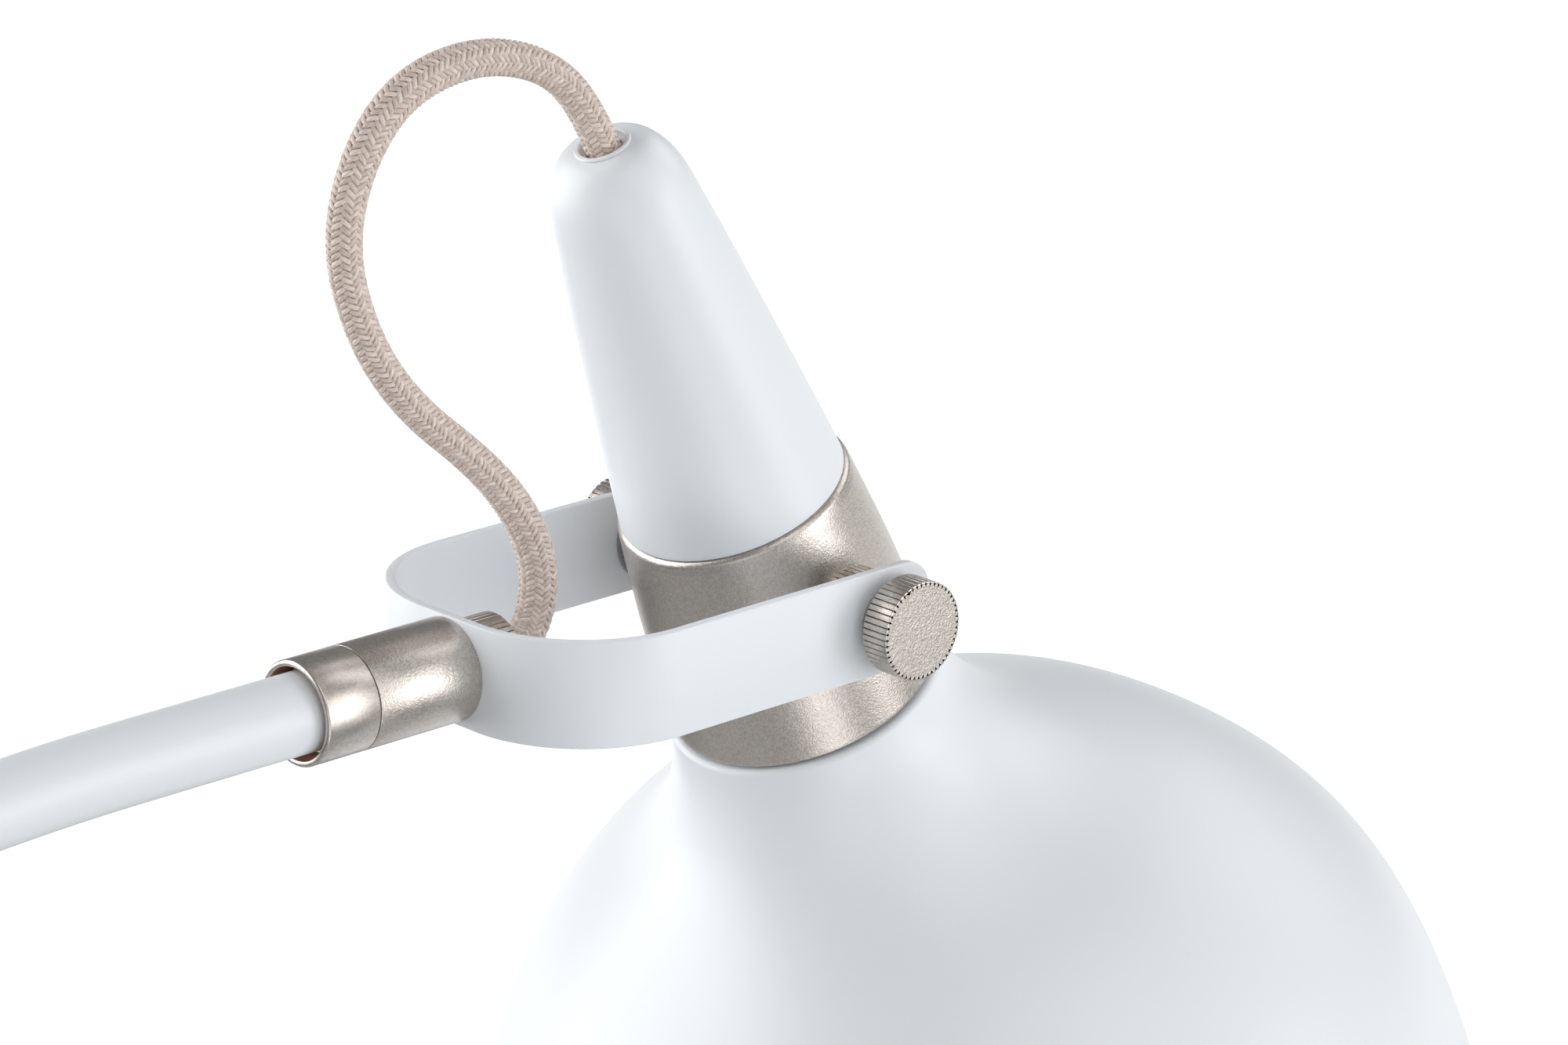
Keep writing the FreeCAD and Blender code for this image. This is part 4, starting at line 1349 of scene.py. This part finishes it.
# ---- studio ---------------------------------------------------------------------------------
class LAMP_OT_studio(bpy.types.Operator):
    """Add the pale floor, the grey surround and the soft lights"""

    bl_idname = "lamp.studio"
    bl_label = "Studio"

    def execute(self, context):
        self.floor(context)
        self.surround(context)
        for box in SOFT_BOXES:
            self.soft_box(context, *box)
        context.scene.view_settings.view_transform = "Standard"
        return {"FINISHED"}

    @staticmethod
    def floor(context):
        reach = 60
        below = 0.5 * MM
        shape = bmesh.new()
        bmesh.ops.create_circle(shape, cap_ends=True, segments=128, radius=reach)
        bmesh.ops.translate(shape, verts=shape.verts, vec=(0, 0, -below))
        mesh = bpy.data.meshes.new("floor")
        shape.to_mesh(mesh)
        shape.free()
        mesh.materials.append(studio_floor())
        floor = bpy.data.objects.new("floor", mesh)
        context.scene.collection.objects.link(floor)

    @staticmethod
    def surround(context):
        """The same soft grey light from all round."""
        world = bpy.data.worlds.new("surround")
        world.use_nodes = True
        graph = Graph(world.node_tree)
        light = graph.node("ShaderNodeBackground", None, {
            "Color": (0.985, 0.99, 1.0, 1), "Strength": studio().tent})
        graph.node("ShaderNodeOutputWorld", None, {"Surface": light.outputs[0]})
        context.scene.world = world

    @staticmethod
    def soft_box(context, name, aside, above, side, power):
        """A square light aimed at the pivot; only its light shows, not the box."""
        setup = studio()
        turn = setup.turn + math.radians(aside - 90)
        rise = math.radians(above)
        place = setup.reach * Vector((
            math.cos(rise) * math.cos(turn), math.cos(rise) * math.sin(turn), math.sin(rise)))
        lamp = bpy.data.lights.new(name, "AREA")
        lamp.energy = power * setup.boxes
        lamp.size = side
        light = bpy.data.objects.new(name, lamp)
        light.location = PIVOT + place
        light.rotation_euler = place.to_track_quat("Z", "Y").to_euler()
        light.visible_camera = False
        context.scene.collection.objects.link(light)


STEPS = (
    LAMP_OT_camera,
    LAMP_OT_finish_parts,
    LAMP_OT_cord,
    LAMP_OT_shade,
    LAMP_OT_cap,
    LAMP_OT_grommet,
    LAMP_OT_collar,
    LAMP_OT_knobs,
    LAMP_OT_bosses,
    LAMP_OT_strap,
    LAMP_OT_ferrule,
    LAMP_OT_arm,
    LAMP_OT_post,
    LAMP_OT_base,
    LAMP_OT_lampholder,
    LAMP_OT_studio,
)


class LAMP_PT_builder(bpy.types.Panel):
    """The lamp's settings and building steps, in the 3D view's sidebar"""

    bl_label = "Arc floor lamp"
    bl_idname = "LAMP_PT_builder"
    bl_space_type = "VIEW_3D"
    bl_region_type = "UI"
    bl_category = "Lamp"

    def draw(self, context):
        scene = context.scene
        for group in (scene.lamp_sizes, scene.lamp_colours, scene.lamp_studio):
            box = self.layout.box()
            for name in type(group).__annotations__:
                box.prop(group, name)
        for step in STEPS:
            self.layout.operator(step.bl_idname)


GROUPS = (LampSizes, LampColours, StudioSettings)


def register():
    for kind in GROUPS + STEPS + (LAMP_PT_builder,):
        bpy.utils.register_class(kind)
    bpy.types.Scene.lamp_sizes = bpy.props.PointerProperty(type=LampSizes)
    bpy.types.Scene.lamp_colours = bpy.props.PointerProperty(type=LampColours)
    bpy.types.Scene.lamp_studio = bpy.props.PointerProperty(type=StudioSettings)


def unregister():
    del bpy.types.Scene.lamp_sizes
    del bpy.types.Scene.lamp_colours
    del bpy.types.Scene.lamp_studio
    for kind in reversed(GROUPS + STEPS + (LAMP_PT_builder,)):
        bpy.utils.unregister_class(kind)


def main():
    register()
    for step in STEPS:
        family, action = step.bl_idname.split(".")
        getattr(getattr(bpy.ops, family), action)()


if __name__ == "__main__":
    main()
